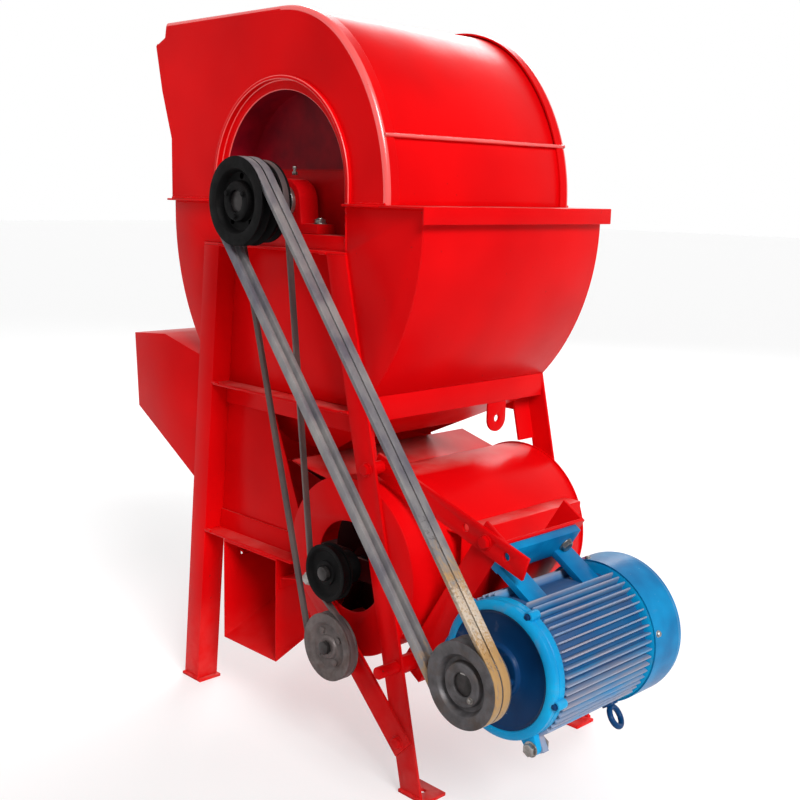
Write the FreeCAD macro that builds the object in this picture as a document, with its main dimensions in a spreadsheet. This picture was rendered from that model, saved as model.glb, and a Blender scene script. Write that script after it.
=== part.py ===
import FreeCAD, Part

import math
import operator
import os

import Sketcher

# Threshing machine with a beater drum under a round hood, a cleaning fan and a foot-mounted motor.
# Millimetres, +Z up. The origin lies on the floor, midway between the four feet.
# Places along X are counted from the drum axis, +X towards the motor.
# Places along Y are counted from the near end plane, where the belts run, into the machine.

SIZES = {
    # Body and stance
    "drum_x": -36.0,
    "body_depth": 490.0,
    "foot_half_span": 340.0,
    "sheet_wall": 3.0,
    "plate_wall": 4.0,
    "overrun": 5.0,
    # Hood and feed hopper: the top counts up from the flange frame, the levels below it down from the top
    "flange_top": 1028.0,
    "hood_top": 345.0,
    "hood_reach": 285.0,
    "hood_top_radius": 248.0,
    "hood_side_radius": 377.0,
    "hood_lean": 37.0,
    "hood_rim_depth": 28.0,
    "hood_start": 20.0,
    "hood_hem": 18.0,
    "hood_low": 273.0,
    "skirt_top": 230.0,
    "feed_edge": 366.0,
    "feed_notch_x": 372.0,
    "feed_notch_z": 28.0,
    "feed_lip_x": 405.0,
    "feed_lip_z": 42.0,
    "feed_lip_radius": 5.0,
    "feed_bend_x": 385.0,
    "feed_bend_z": 131.0,
    "feed_wall_x": 353.0,
    "feed_wall_z": 226.0,
    # Arch openings and bearing niches
    "arch_radius": 197.0,
    "arch_centre_z": 1055.0,
    "arch_lip": 7.0,
    "arch_flange": 25.0,
    "arch_proud": 8.0,
    "niche_half": 175.0,
    "leg_top": 940.0,
    "niche_depth": 65.0,
    "niche_shield_top": 1085.0,
    "shaft_hole_gap": 4.0,
    # Flange frame between hood and trough
    "flange_seat": 13.0,
    "flange_reach": 380.0,
    "flange_left_reach": 361.0,
    "flange_lip": 29.0,
    "flange_width": 38.0,
    # Drum trough
    "trough_radius": 438.0,
    "trough_turn_z": 1000.0,
    "trough_right": 365.0,
    "trough_left": 350.0,
    "trough_bottom": 697.0,
    # Legs and rails of angle iron
    "angle_leg": 50.0,
    "angle_wall": 5.0,
    "leg_left_top_x": 191.0,
    "leg_right_top_x": 132.0,
    "leg_notch_top": 560.0,
    "foot_length": 66.0,
    "foot_width": 54.0,
    "foot_wall": 6.0,
    "anchor_hole": 7.0,
    "mid_rail_top": 664.0,
    "low_rail_top": 349.0,
    "rail_flange": 40.0,
    "rail_depth": 42.0,
    "side_flange": 33.0,
    "low_side_rail_z": 320.0,
    "panel_slant_mid_x": 87.0,
    "panel_slant_low_x": 49.0,
    # Bearing beams and plummer blocks
    "beam_height": 24.0,
    "beam_width": 52.0,
    "block_y": 35.0,
    "block_rise": 56.0,
    "block_half_length": 92.0,
    "block_foot": 18.0,
    "block_width": 44.0,
    "block_dome": 42.0,
    "block_neck": 46.0,
    "block_bolt_x": 73.0,
    "running_gap": 0.05,
    # Drum
    "shaft_radius": 20.0,
    "shaft_far_reach": 25.0,
    "shaft_recess": 6.0,
    "drum_radius": 200.0,
    "drum_disc_radius": 178.0,
    "drum_disc_wall": 6.0,
    "drum_end_gap": 6.0,
    "drum_hub_radius": 36.0,
    "drum_hub_length": 30.0,
    "beater_foot": 40.0,
    "beater_wall": 8.0,
    # Concave grate and funnel
    "grate_radius": 222.0,
    "grate_band": 18.0,
    "grate_band_wall": 8.0,
    "grate_rod_radius": 5.0,
    "grate_half_angle": 68.0,
    "funnel_seat": 7.0,
    "funnel_low_z": 548.0,
    "funnel_low_right": 25.0,
    "funnel_low_left": 105.0,
    "funnel_low_inset": 65.0,
    # Separation chamber, husk duct and grain spout
    "duct_mouth_x": 515.0,
    "duct_mouth_z": 735.0,
    "duct_mouth_low_x": 504.0,
    "duct_mouth_low_z": 574.0,
    "duct_bend_x": 396.0,
    "duct_bend_z": 744.0,
    "duct_inner_x": 249.0,
    "duct_inner_z": 710.0,
    "duct_low_x": 289.0,
    "duct_low_z": 451.0,
    "spout_left_x": 178.0,
    "spout_right_x": 10.0,
    "spout_top": 303.0,
    "spout_lip_z": 132.0,
    "spout_back_z": 314.0,
    "spout_depth": 445.0,
    "spout_lap": 20.0,
    "spout_tail": 80.0,
    # Fan
    "fan_x": 199.0,
    "fan_z": 381.0,
    "fan_radius": 162.0,
    "fan_intake_radius": 84.0,
    "fan_low_angle": 204.0,
    "fan_high_angle": 118.0,
    "fan_outlet_x": 30.0,
    "fan_shaft_radius": 12.5,
    "fan_shaft_tail": 6.0,
    "carrier_height": 40.0,
    "carrier_wall": 6.0,
    "carrier_lap": 16.0,
    "fan_block_radius": 30.0,
    "fan_block_width": 22.0,
    "impeller_radius": 138.0,
    "impeller_hub_radius": 28.0,
    "impeller_wall": 3.0,
    "impeller_end_gap": 26.0,
    "ledge_top": 463.0,
    "ledge_reach": 378.0,
    "ledge_drop": 110.0,
    "ledge_near": 110.0,
    "ledge_far": 450.0,
    # Belts and pulleys
    "belt_width": 16.5,
    "belt_height": 11.0,
    "belt_gap": 0.4,
    "groove_floor_gap": 3.0,
    "groove_pitch": 19.0,
    "main_face_y": 101.0,
    "main_width": 40.0,
    "drum_pulley_radius": 79.0,
    "motor_pulley_radius": 70.0,
    "fan_belt_y": 43.0,
    "fan_belt_width": 12.5,
    "fan_belt_height": 8.0,
    "fan_drive_radius": 74.0,
    "thin_width": 22.0,
    "idler_x": 206.0,
    "idler_z": 244.0,
    "idler_radius": 62.0,
    "idler_axle_radius": 10.0,
    "idler_head_radius": 12.0,
    "idler_side_gap": 0.5,
    "fan_pulley_radius": 52.0,
    "fan_pulley_flange": 5.0,
    "fan_pulley_hub_wall": 4.4,
    "pulley_rim": 22.0,
    "pulley_web": 10.0,
    "pulley_hub_wall": 13.0,
    # Motor, in a frame turned about its own axis
    "motor_x": 574.0,
    "motor_z": 309.0,
    "motor_tilt": 32.0,
    "motor_front_y": -20.0,
    "motor_back_y": 324.0,
    "motor_height": 132.0,
    "motor_radius": 104.0,
    "motor_wall": 6.0,
    "stator_bore": 72.0,
    "stator_near": 60.0,
    "stator_length": 130.0,
    "rotor_gap": 0.6,
    "fin_height": 14.0,
    "fin_wall": 3.0,
    "crown_turn": 23.0,
    "crown_half": 22.0,
    "shield_radius": 113.0,
    "shield_depth": 34.0,
    "shield_boss_radius": 45.0,
    "shield_boss": 8.0,
    "ear_turn": 29.5,
    "ear_reach": 143.0,
    "ear_half": 12.0,
    "ear_depth": 13.0,
    "ear_bolt_inset": 12.0,
    "rear_shield_wall": 16.0,
    "cover_radius": 125.0,
    "cover_depth": 82.0,
    "cover_wall": 2.5,
    "grille_radius": 76.0,
    "grille_slot": 13.0,
    "motor_shaft_radius": 19.0,
    "motor_shaft_recess": 8.0,
    "motor_shaft_back": 300.0,
    "motor_fan_y": 268.0,
    "motor_fan_radius": 95.0,
    "motor_fan_hub_radius": 30.0,
    "motor_fan_width": 26.0,
    "foot_reach": 137.0,
    "foot_pad": 54.0,
    "foot_pad_wall": 15.0,
    "foot_near_y": 40.0,
    "foot_far_y": 225.0,
    "foot_web": 12.0,
    "foot_web_reach": 86.0,
    "foot_block": 45.0,
    "eye_y": 200.0,
    "eye_radius": 17.0,
    "eye_wire": 5.0,
    "eye_collar_radius": 14.0,
    "eye_collar": 5.0,
    # Motor mount, pivot and strap
    "mount_wall": 6.0,
    "mount_flange": 46.0,
    "mount_near_y": 40.0,
    "mount_far_y": 250.0,
    "mount_up": 140.0,
    "mount_down": 215.0,
    "pivot_drop": 195.0,
    "pivot_set_back": 34.0,
    "pivot_radius": 11.0,
    "pivot_near_reach": 44.0,
    "pivot_far_reach": 12.0,
    "pivot_collar_radius": 16.0,
    "strap_width": 40.0,
    "strap_wall": 6.0,
    "strap_left_x": 247.0,
    "strap_left_z": 571.0,
    "strap_right_x": 569.0,
    "strap_right_z": 470.0,
    "strap_bolt_run": 263.0,
    "strap_hole_pitch": 47.0,
    "strap_hole": 7.0,
    "strap_end": 14.0,
    # Braces and hanging lug
    "brace_width": 50.0,
    "brace_wall": 5.0,
    "brace_left_x": 98.0,
    "brace_left_z": 334.0,
    "brace_right_x": 345.0,
    "brace_right_z": 97.0,
    "brace_end": 16.0,
    "lug_y": 347.0,
    "lug_z": 620.0,
    "lug_hole": 7.0,
    "lug_radius": 26.0,
    # Bolt heads and nuts
    "bolt_head_radius": 11.0,
    "bolt_head": 8.0,
    "spacer_radius": 12.0,
    "nut_height": 4.5,
}

BELT_SLOPE_SHARE = 0.36
IMPELLER_INNER_SHARE = 0.42
IMPELLER_DISC_SHARE = 0.8
DUCT_SLANT_SHARE = 1.15
PAST_END_SHARE = 1.2
DRUM_DISC_SHARES = (0, 0.5, 1)
IMPELLER_DISC_SHARES = (0.08, 0.5, 0.92)
FIN_COUNT = 54
FINS_LEFT_OUT = (2, 3, 4, 5, 17, 18, 19, 20, 34, 35, 36, 37)
EYE_TWIST = -15.0
BEATER_COUNT = 6
IMPELLER_BLADES = 6
COOLING_BLADES = 7
GRATE_RODS = 19
GRILLE_SLOTS = 12
TURN = 360.0
QUARTER = 90.0

NEAR, FAR = "near", "far"
LEFT, RIGHT = -1, 1

doc = FreeCAD.newDocument("ThreshingMachine")
sheet = doc.addObject("Spreadsheet::Sheet", "Sizes")
OPERATIONS = {"+": operator.add, "-": operator.sub, "*": operator.mul, "/": operator.truediv}


class Size:
    """A number together with the expression that binds it to the sheet."""

    def __init__(self, value, text):
        self.value = value
        self.text = text

    def __add__(self, other):
        return joined(self, "+", other)

    def __radd__(self, other):
        return joined(other, "+", self)

    def __sub__(self, other):
        return joined(self, "-", other)

    def __rsub__(self, other):
        return joined(other, "-", self)

    def __mul__(self, other):
        return joined(self, "*", other)

    def __rmul__(self, other):
        return joined(other, "*", self)

    def __truediv__(self, other):
        return joined(self, "/", other)

    def __neg__(self):
        return joined(0, "-", self)


def sized(thing):
    return thing if isinstance(thing, Size) else Size(float(thing), str(thing))


def joined(left, sign, right):
    left = sized(left)
    right = sized(right)
    value = OPERATIONS[sign](left.value, right.value)
    return Size(value, f"({left.text} {sign} {right.text})")


def root(size):
    return Size(math.sqrt(size.value), f"sqrt({size.text})")


def cosine(angle):
    angle = sized(angle)
    return Size(math.cos(math.radians(angle.value)), f"cos({angle.text})")


def sine(angle):
    angle = sized(angle)
    return Size(math.sin(math.radians(angle.value)), f"sin({angle.text})")


class Sheet:
    """The driving sizes, each an attribute bound to its cell."""

    def __init__(self):
        for row, (name, value) in enumerate(SIZES.items(), start=1):
            sheet.set(f"A{row}", name)
            sheet.set(f"B{row}", str(value))
            sheet.setAlias(f"B{row}", name)
        doc.recompute()
        for name in SIZES:
            setattr(self, name, Size(float(sheet.get(name)), f"Sizes.{name}"))


w = Sheet()
nodes = []


def kept(label, thing):
    """Names a finished piece, which is written to its own file."""
    thing.Label = label
    nodes.append(thing)
    return thing


def place(thing, x, y, z, turn=None):
    """Puts a thing at a place counted from the drum axis, the near plane and the floor."""
    if turn is not None:
        turn = sized(turn)
        tilt = FreeCAD.Rotation(FreeCAD.Vector(0, 1, 0), turn.value)
        thing.Placement = FreeCAD.Placement(FreeCAD.Vector(), tilt)
        thing.setExpression("Placement.Rotation.Angle", turn.text)
    thing.setExpression("Placement.Base.x", (w.drum_x + x).text)
    thing.setExpression("Placement.Base.y", (y - w.body_depth / 2).text)
    thing.setExpression("Placement.Base.z", sized(z).text)
    return thing


def arc_between(start, end, radius, turn):
    """The arc from one place to the other, anticlockwise for a turn of 1, clockwise for -1."""
    chord = end - start
    left = FreeCAD.Vector(-chord.y, chord.x, 0).normalize()
    rise = math.sqrt(max(radius ** 2 - chord.Length ** 2 / 4, 0))
    centre = (start + end) * 0.5 + left * (rise * turn)
    middle = centre - left * (radius * turn)
    return Part.Arc(start, middle, end) if turn > 0 else Part.Arc(end, middle, start)


def bound(sketch, kind, element, size, *point):
    """Adds a sketch dimension that follows the sheet."""
    size = sized(size)
    index = sketch.addConstraint(Sketcher.Constraint(kind, element, *point, size.value))
    sketch.setExpression(f"Constraints[{index}]", size.text)


def draw_outline(sketch, outline):
    """Draws one closed line of corners (u, v), or (u, v, radius, turn) where an arc starts."""
    places = [FreeCAD.Vector(sized(corner[0]).value, sized(corner[1]).value, 0)
              for corner in outline]
    ends = []
    for index, corner in enumerate(outline):
        start = places[index]
        end = places[(index + 1) % len(outline)]
        if len(corner) == 2:
            element = sketch.addGeometry(Part.LineSegment(start, end), False)
            ends.append((element, 1, 2))
        else:
            arc = arc_between(start, end, sized(corner[2]).value, corner[3])
            element = sketch.addGeometry(arc, False)
            bound(sketch, "Radius", element, corner[2])
            ends.append((element, 1, 2) if corner[3] > 0 else (element, 2, 1))
    for index, corner in enumerate(outline):
        element, first, last = ends[index]
        following = ends[(index + 1) % len(outline)]
        joint = Sketcher.Constraint("Coincident", element, last, following[0], following[1])
        sketch.addConstraint(joint)
        bound(sketch, "DistanceX", element, corner[0], first)
        bound(sketch, "DistanceY", element, corner[1], first)


def drawn(body, plane, outlines, circles=()):
    """A sketch on one of the body's own planes, with closed outlines and (u, v, radius) holes."""
    sketch = body.newObject("Sketcher::SketchObject", "Outline")
    flat = [part for part in body.Origin.OriginFeatures if part.Role == plane][0]
    sketch.AttachmentSupport = [(flat, "")]
    sketch.MapMode = "FlatFace"
    for outline in outlines:
        draw_outline(sketch, outline)
    for u, v, radius in circles:
        centre = FreeCAD.Vector(sized(u).value, sized(v).value, 0)
        ring = Part.Circle(centre, FreeCAD.Vector(0, 0, 1), sized(radius).value)
        element = sketch.addGeometry(ring, False)
        bound(sketch, "DistanceX", element, u, 3)
        bound(sketch, "DistanceY", element, v, 3)
        bound(sketch, "Radius", element, radius)
    return sketch


def padded(body, sketch, length, end=NEAR):
    """Pads a sketch into the machine from the given end."""
    pad = body.newObject("PartDesign::Pad", "Pad")
    pad.Profile = sketch
    pad.setExpression("Length", sized(length).text)
    pad.Reversed = end == NEAR
    body.Tip = pad
    return pad


def slab(start, depth, outlines, circles=(), x=0, z=0, turn=None):
    """A body of one section in X and Z that runs along Y."""
    body = doc.addObject("PartDesign::Body", "Slab")
    padded(body, drawn(body, "XZ_Plane", outlines, circles), depth)
    return place(body, x, sized(start), z, turn)


def from_end(end, start, depth, outlines, circles=()):
    """A slab counted from the near end plane, or its mirror image at the far one."""
    begin = sized(start) if end == NEAR else w.body_depth - start - depth
    return slab(begin, depth, outlines, circles)


def at_both_ends(start, depth, outlines, circles=()):
    return [from_end(end, start, depth, outlines, circles) for end in (NEAR, FAR)]


def crosswise(x, width, outlines, circles=()):
    """A body of one section in Y and Z that runs along +X."""
    body = doc.addObject("PartDesign::Body", "Crosswise")
    padded(body, drawn(body, "YZ_Plane", outlines, circles), width, FAR)
    return place(body, x, sized(0), 0)


def turned(outline, x, y, z, turn=None):
    """A body of revolution about an axis along Y, from an outline of (place along Y, radius)."""
    body = doc.addObject("PartDesign::Body", "Turned")
    sketch = drawn(body, "YZ_Plane", [outline])
    revolution = body.newObject("PartDesign::Revolution", "Revolution")
    revolution.Profile = sketch
    revolution.ReferenceAxis = (sketch, ["H_Axis"])
    revolution.Angle = TURN
    body.Tip = revolution
    return place(body, x, sized(y), z, turn)


def block(x, y, z):
    """A box between pairs of places."""
    box = doc.addObject("Part::Box", "Block")
    for name, (low, high) in (("Length", x), ("Width", y), ("Height", z)):
        box.setExpression(name, (sized(high) - low).text)
    return place(box, sized(x[0]), sized(y[0]), z[0])


def bar(radius, length, corners=None):
    """A round bar, or a bar with that many corners, not yet placed."""
    thing = doc.addObject("Part::Prism" if corners else "Part::Cylinder", "Bar")
    thing.setExpression("Circumradius" if corners else "Radius", sized(radius).text)
    thing.setExpression("Height", sized(length).text)
    if corners:
        thing.Polygon = corners
    return thing


def along_y(radius, x, z, start, end, corners=None):
    thing = bar(radius, sized(end) - start, corners)
    turn = FreeCAD.Rotation(FreeCAD.Vector(1, 0, 0), -QUARTER)
    thing.Placement = FreeCAD.Placement(FreeCAD.Vector(), turn)
    return place(thing, sized(x), sized(start), z)


def upright(radius, x, y, low, high, corners=None):
    return place(bar(radius, sized(high) - low, corners), sized(x), sized(y), low)


def fused(*things):
    weld = doc.addObject("Part::MultiFuse", "Weld")
    weld.Shapes = list(things)
    return weld


def cut(base, *tools):
    result = doc.addObject("Part::Cut", "Cut")
    result.Base = base
    result.Tool = tools[0] if len(tools) == 1 else fused(*tools)
    return result


def grouped(*things):
    """Separate solids of one kind that share a node."""
    group = doc.addObject("Part::Compound", "Group")
    group.Links = list(things)
    return group


def rectangle(x, z):
    return [(x[0], z[0]), (x[1], z[0]), (x[1], z[1]), (x[0], z[1])]


def between(start, end, share):
    """A place on the line through two corners, as a share of the way."""
    return tuple(first + (last - first) * share for first, last in zip(start, end))


# The hood line runs from the flange frame up a wide arc and a tighter one to a flat top.
HOOD_TOP = w.flange_top + w.hood_top
ARC_SPREAD = w.hood_side_radius - w.hood_top_radius
ARC_LEVEL = ARC_SPREAD - w.hood_lean
TOP_X = w.hood_reach - w.hood_lean - w.hood_top_radius
SIDE_X = w.hood_reach - w.hood_side_radius
TOP_CENTRE = HOOD_TOP - w.hood_top_radius
SIDE_CENTRE = TOP_CENTRE - root(ARC_SPREAD * ARC_SPREAD - ARC_LEVEL * ARC_LEVEL)


def hood_line(inset, low):
    """Corners on the hood line from a level up to the top, at a distance inside the edge."""
    small = w.hood_top_radius - inset
    large = w.hood_side_radius - inset
    rise = low - SIDE_CENTRE
    return [
        (SIDE_X + root(large * large - rise * rise), low, large, 1),
        (TOP_X + small * ARC_LEVEL / ARC_SPREAD,
         TOP_CENTRE + small * (TOP_CENTRE - SIDE_CENTRE) / ARC_SPREAD, small, 1),
        (TOP_X, HOOD_TOP - inset)]


def reversed_line(line):
    """The same corners walked the other way, with their arcs turned round."""
    corners = [corner[:2] for corner in line][::-1]
    arcs = [corner[2:] for corner in line][::-1][1:]
    walked = [corner + ((arc[0], -arc[1]) if arc else ()) for corner, arc in zip(corners, arcs)]
    return walked + [corners[-1]]


def arch_line(radius, base):
    """Corners of an arch over the drum shaft, from its right foot to its left foot."""
    return [
        (radius, base), (radius, w.arch_centre_z, radius, 1),
        (0, w.arch_centre_z + radius, radius, 1), (-radius, w.arch_centre_z), (-radius, base)]


def end_plate(end):
    rim = w.plate_wall
    edge = (hood_line(0, w.flange_top)
            + [(-w.feed_edge, HOOD_TOP), (-w.feed_notch_x, HOOD_TOP - w.feed_notch_z),
               (-w.feed_lip_x, HOOD_TOP - w.feed_lip_z), (-w.feed_bend_x, HOOD_TOP - w.feed_bend_z),
               (-w.feed_wall_x, HOOD_TOP - w.feed_wall_z), (-w.feed_wall_x, w.flange_top)])
    opening = reversed_line(arch_line(w.arch_radius, w.flange_top))
    band = (hood_line(0, w.flange_top)
            + [(-w.feed_edge, HOOD_TOP), (-w.feed_edge, HOOD_TOP - rim)]
            + reversed_line(hood_line(rim, w.flange_top)))
    body = doc.addObject("PartDesign::Body", "EndPlate")
    padded(body, drawn(body, "XZ_Plane", [edge + opening]), w.plate_wall, end)
    padded(body, drawn(body, "XZ_Plane", [band]), w.hood_rim_depth, end)
    kept(f"end_plate_{end}", place(body, 0, 0 if end == NEAR else w.body_depth, 0))


def hood():
    inside = w.plate_wall
    depth = w.body_depth - 2 * inside
    skirt_out = w.plate_wall
    skirt_in = skirt_out + w.sheet_wall
    outer = hood_line(skirt_out, w.flange_top)[0]
    inner = hood_line(skirt_in, w.flange_top)[0]
    lap_top = HOOD_TOP - w.skirt_top
    skirt = [
        outer, hood_line(skirt_out, lap_top)[0][:2],
        hood_line(skirt_in, lap_top)[0][:2] + (inner[2], -1), inner[:2]]
    kept("hood_skirt", slab(inside, depth, [skirt]))
    sheet_in = skirt_in + w.sheet_wall
    hem_low = HOOD_TOP - w.hood_hem
    lap_low = HOOD_TOP - w.hood_low
    cover = (hood_line(skirt_in, lap_low)
             + [(TOP_X - w.hood_start, HOOD_TOP - skirt_in), (TOP_X - w.hood_start, hem_low),
                (TOP_X - w.hood_start + w.sheet_wall, hem_low),
                (TOP_X - w.hood_start + w.sheet_wall, HOOD_TOP - sheet_in)]
             + reversed_line(hood_line(sheet_in, lap_low)))
    kept("hood_sheet", slab(inside, depth, [cover]))
    wall = w.sheet_wall
    knee = HOOD_TOP - w.feed_wall_z
    bend = HOOD_TOP - w.feed_bend_z
    lip_level = HOOD_TOP - w.feed_lip_z
    face = [
        (-w.feed_wall_x, w.flange_top), (wall - w.feed_wall_x, w.flange_top),
        (wall - w.feed_wall_x, knee), (wall - w.feed_bend_x, bend),
        (wall - w.feed_lip_x, lip_level), (-w.feed_lip_x, lip_level),
        (-w.feed_bend_x, bend), (-w.feed_wall_x, knee)]
    lip = along_y(w.feed_lip_radius, -w.feed_lip_x, lip_level, inside, inside + depth)
    kept("feed_wall", fused(slab(inside, depth, [face]), lip))


def arch_band(outer, inner, base):
    return arch_line(outer, base) + reversed_line(arch_line(inner, base))


def arches_and_niches():
    lip = arch_band(w.arch_radius, w.arch_radius - w.arch_lip, w.flange_top)
    flange = arch_band(w.arch_radius - w.arch_lip, w.arch_radius - w.arch_flange, w.flange_top)
    shell = w.niche_half + w.sheet_wall
    floor = NICHE_FLOOR + w.sheet_wall
    front = w.arch_proud
    back = front + w.niche_depth - w.sheet_wall
    shaft_hole = (0, SHAFT_Z, w.shaft_radius + w.shaft_hole_gap)
    shield_rise = w.niche_shield_top - w.arch_centre_z
    shield_half = root(w.niche_half * w.niche_half - shield_rise * shield_rise)
    shield = rectangle((-shield_half, shield_half), (floor, w.niche_shield_top))
    rims = []
    niches = []
    for end in (NEAR, FAR):
        rims.append(fused(
            from_end(end, -w.arch_proud, 2 * w.arch_proud, [lip]),
            from_end(end, front - w.sheet_wall, w.sheet_wall, [flange])))
        niches.append(fused(
            from_end(end, front, back - front,
                     [arch_line(shell, NICHE_FLOOR), arch_line(w.niche_half, floor)]),
            from_end(end, back, w.sheet_wall, [arch_line(shell, NICHE_FLOOR)], [shaft_hole]),
            from_end(end, back - w.sheet_wall, w.sheet_wall, [shield], [shaft_hole])))
    kept("arch_rims", grouped(*rims))
    kept("bearing_niches", grouped(*niches))


NICHE_FLOOR = w.leg_top + w.angle_wall
BEAM_TOP = NICHE_FLOOR + w.sheet_wall + w.beam_height
SHAFT_Z = BEAM_TOP + w.block_rise


def flange_frame():
    wall = w.plate_wall
    under = w.flange_top - wall
    proud = (-w.arch_proud, w.body_depth + w.arch_proud)
    left_in = w.flange_seat - w.feed_wall_x
    right_in = w.hood_reach - w.flange_seat
    niche_side = w.niche_half + w.sheet_wall
    right = fused(
        block((right_in, w.flange_reach), proud, (under, w.flange_top)),
        block((w.flange_reach - wall, w.flange_reach), proud,
              (w.flange_top - w.flange_lip, w.flange_top)))
    kept("side_flanges", grouped(
        right, block((-w.flange_left_reach, left_in), proud, (under, w.flange_top))))
    ends = []
    for low, high in ((left_in, -niche_side), (niche_side, right_in)):
        ends += at_both_ends(-w.arch_proud, w.flange_width,
                             [rectangle((low, high), (under, w.flange_top))])
    kept("end_flanges", grouped(*ends))


def trough_edge(side, radius, z):
    """Where a trough line of this radius stands at a level, on one side."""
    reach = w.trough_right if side == RIGHT else w.trough_left
    fall = w.trough_turn_z - z
    return side * (reach - w.trough_radius + root(radius * radius - fall * fall))


def trough():
    top = w.flange_top - w.plate_wall
    wing_start = w.angle_wall
    inside = wing_start + w.sheet_wall
    wings = []
    for side, name in ((LEFT, "left"), (RIGHT, "right")):
        outer = w.trough_radius
        inner = outer - w.sheet_wall
        low = w.trough_bottom
        foot = w.mid_rail_top
        section = [
            (trough_edge(side, outer, low), low, outer, side),
            (trough_edge(side, outer, w.trough_turn_z), w.trough_turn_z),
            (trough_edge(side, outer, w.trough_turn_z), top),
            (trough_edge(side, inner, w.trough_turn_z), top),
            (trough_edge(side, inner, w.trough_turn_z), w.trough_turn_z, inner, -side),
            (trough_edge(side, inner, low), low)]
        kept(f"trough_sheet_{name}", slab(inside, w.body_depth - 2 * inside, [section]))
        clear = side * w.angle_wall
        leg_edge = inner_edge(side, w.leg_top) + side * w.angle_leg
        wing = [
            (inner_edge(side, foot) + clear, foot), (trough_edge(side, outer, low), foot),
            (trough_edge(side, outer, low), low, outer, side),
            (trough_edge(side, outer, w.trough_turn_z), w.trough_turn_z),
            (trough_edge(side, outer, w.trough_turn_z), top), (side * w.niche_half, top),
            (side * w.niche_half, NICHE_FLOOR), (leg_edge, NICHE_FLOOR), (leg_edge, w.leg_top),
            (inner_edge(side, w.leg_top) + clear, w.leg_top)]
        wings += at_both_ends(wing_start, w.sheet_wall, [wing])
    kept("trough_ends", grouped(*wings))


def inner_edge(side, z):
    """Where the edge of a leg that faces its neighbour stands at a level."""
    top = w.leg_left_top_x if side == LEFT else w.leg_right_top_x
    foot = w.foot_half_span - side * w.drum_x - w.angle_leg / 2
    return side * (top + (foot - top) * (w.leg_top - z) / w.leg_top)


def strip(side, low, high, width):
    """A part of a leg's face between two levels, from its inner edge outwards."""
    return [
        (inner_edge(side, low), low), (inner_edge(side, low) + side * width, low),
        (inner_edge(side, high) + side * width, high), (inner_edge(side, high), high)]


def legs():
    pads = []
    for end in (NEAR, FAR):
        for side, name in ((LEFT, "left"), (RIGHT, "right")):
            pivot = [PIVOT + (w.pivot_radius + w.running_gap,)] if side == RIGHT else []
            web_low = w.foot_wall if side == LEFT else w.leg_notch_top
            body = doc.addObject("PartDesign::Body", "Leg")
            face = drawn(body, "XZ_Plane", [strip(side, w.foot_wall, w.leg_top, w.angle_leg)], pivot)
            padded(body, face, w.angle_wall, end)
            web = drawn(body, "XZ_Plane", [strip(side, web_low, w.leg_top, w.angle_wall)])
            padded(body, web, w.angle_leg, end)
            kept(f"leg_{end}_{name}", place(body, 0, 0 if end == NEAR else w.body_depth, 0))
            centre = side * w.foot_half_span - w.drum_x
            middle = w.foot_width / 2
            low = 0 if end == NEAR else w.body_depth - w.foot_width
            plate = block((centre - w.foot_length / 2, centre + w.foot_length / 2),
                          (low, low + w.foot_width), (0, w.foot_wall))
            hole = upright(w.anchor_hole, centre, low + middle, -w.overrun, w.foot_wall + w.overrun)
            pads.append(cut(plate, hole))
    kept("foot_plates", grouped(*pads))


def across(low, high, right_low=None, right_high=None):
    """A panel between the legs' inner edges, or up to given places on the right."""
    return [
        (inner_edge(LEFT, low), low), (right_low or inner_edge(RIGHT, low), low),
        (right_high or inner_edge(RIGHT, high), high), (inner_edge(LEFT, high), high)]


def rails_and_panels():
    wall = w.angle_wall
    back = w.rail_depth - wall
    fan_reach = w.fan_radius + w.sheet_wall
    fan_drop = w.fan_z - w.low_rail_top
    fan_edge = w.fan_x - root(fan_reach * fan_reach - fan_drop * fan_drop)
    top = w.leg_top
    mid = w.mid_rail_top
    low = w.low_rail_top
    top_face = rectangle((inner_edge(LEFT, top) - w.angle_leg, inner_edge(RIGHT, top) + w.angle_leg),
                         (top, NICHE_FLOOR))
    top_drop = rectangle((inner_edge(LEFT, top), w.leg_right_top_x), (top + wall - w.angle_leg, top))
    rails = []
    for end in (NEAR, FAR):
        rails.append(fused(
            from_end(end, 0, w.angle_leg, [top_face]),
            from_end(end, w.angle_leg - wall, wall, [top_drop])))
        rails.append(fused(
            from_end(end, 0, w.rail_depth, [across(mid - wall, mid)]),
            from_end(end, back, wall, [across(mid - wall - w.rail_flange, mid - wall)])))
        rails.append(fused(
            from_end(end, 0, w.rail_depth, [across(low - wall, low, fan_edge, fan_edge)]),
            from_end(end, back, wall, [across(low, low + w.rail_flange, fan_edge, fan_edge)])))
    kept("cross_rails", grouped(*rails))
    kept("upper_panels", grouped(*at_both_ends(w.rail_depth, w.sheet_wall, [across(mid, top)])))
    lower = across(low - wall, mid, w.panel_slant_low_x, -w.panel_slant_mid_x)
    kept("lower_panels", grouped(*at_both_ends(w.rail_depth, w.sheet_wall, [lower])))
    rail_low = w.trough_bottom - w.angle_leg + wall
    inside = w.angle_wall + w.sheet_wall
    side_rails = []
    for side in (LEFT, RIGHT):
        outer = trough_edge(side, w.trough_radius, w.trough_bottom)
        inner = outer - side * wall
        tip = inner - side * w.side_flange
        side_rails.append(fused(
            block(sorted((outer, inner), key=lambda size: size.value),
                  (inside, w.body_depth - inside), (rail_low, w.trough_bottom)),
            block(sorted((inner, tip), key=lambda size: size.value),
                  (w.angle_leg, w.body_depth - w.angle_leg), (rail_low, rail_low + wall))))
    side_rails.append(block(
        (-w.duct_low_x - wall, -w.duct_low_x), (wall, w.body_depth - wall),
        (w.low_side_rail_z, w.low_side_rail_z + w.angle_leg - wall)))
    kept("side_rails", grouped(*side_rails))


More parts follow.
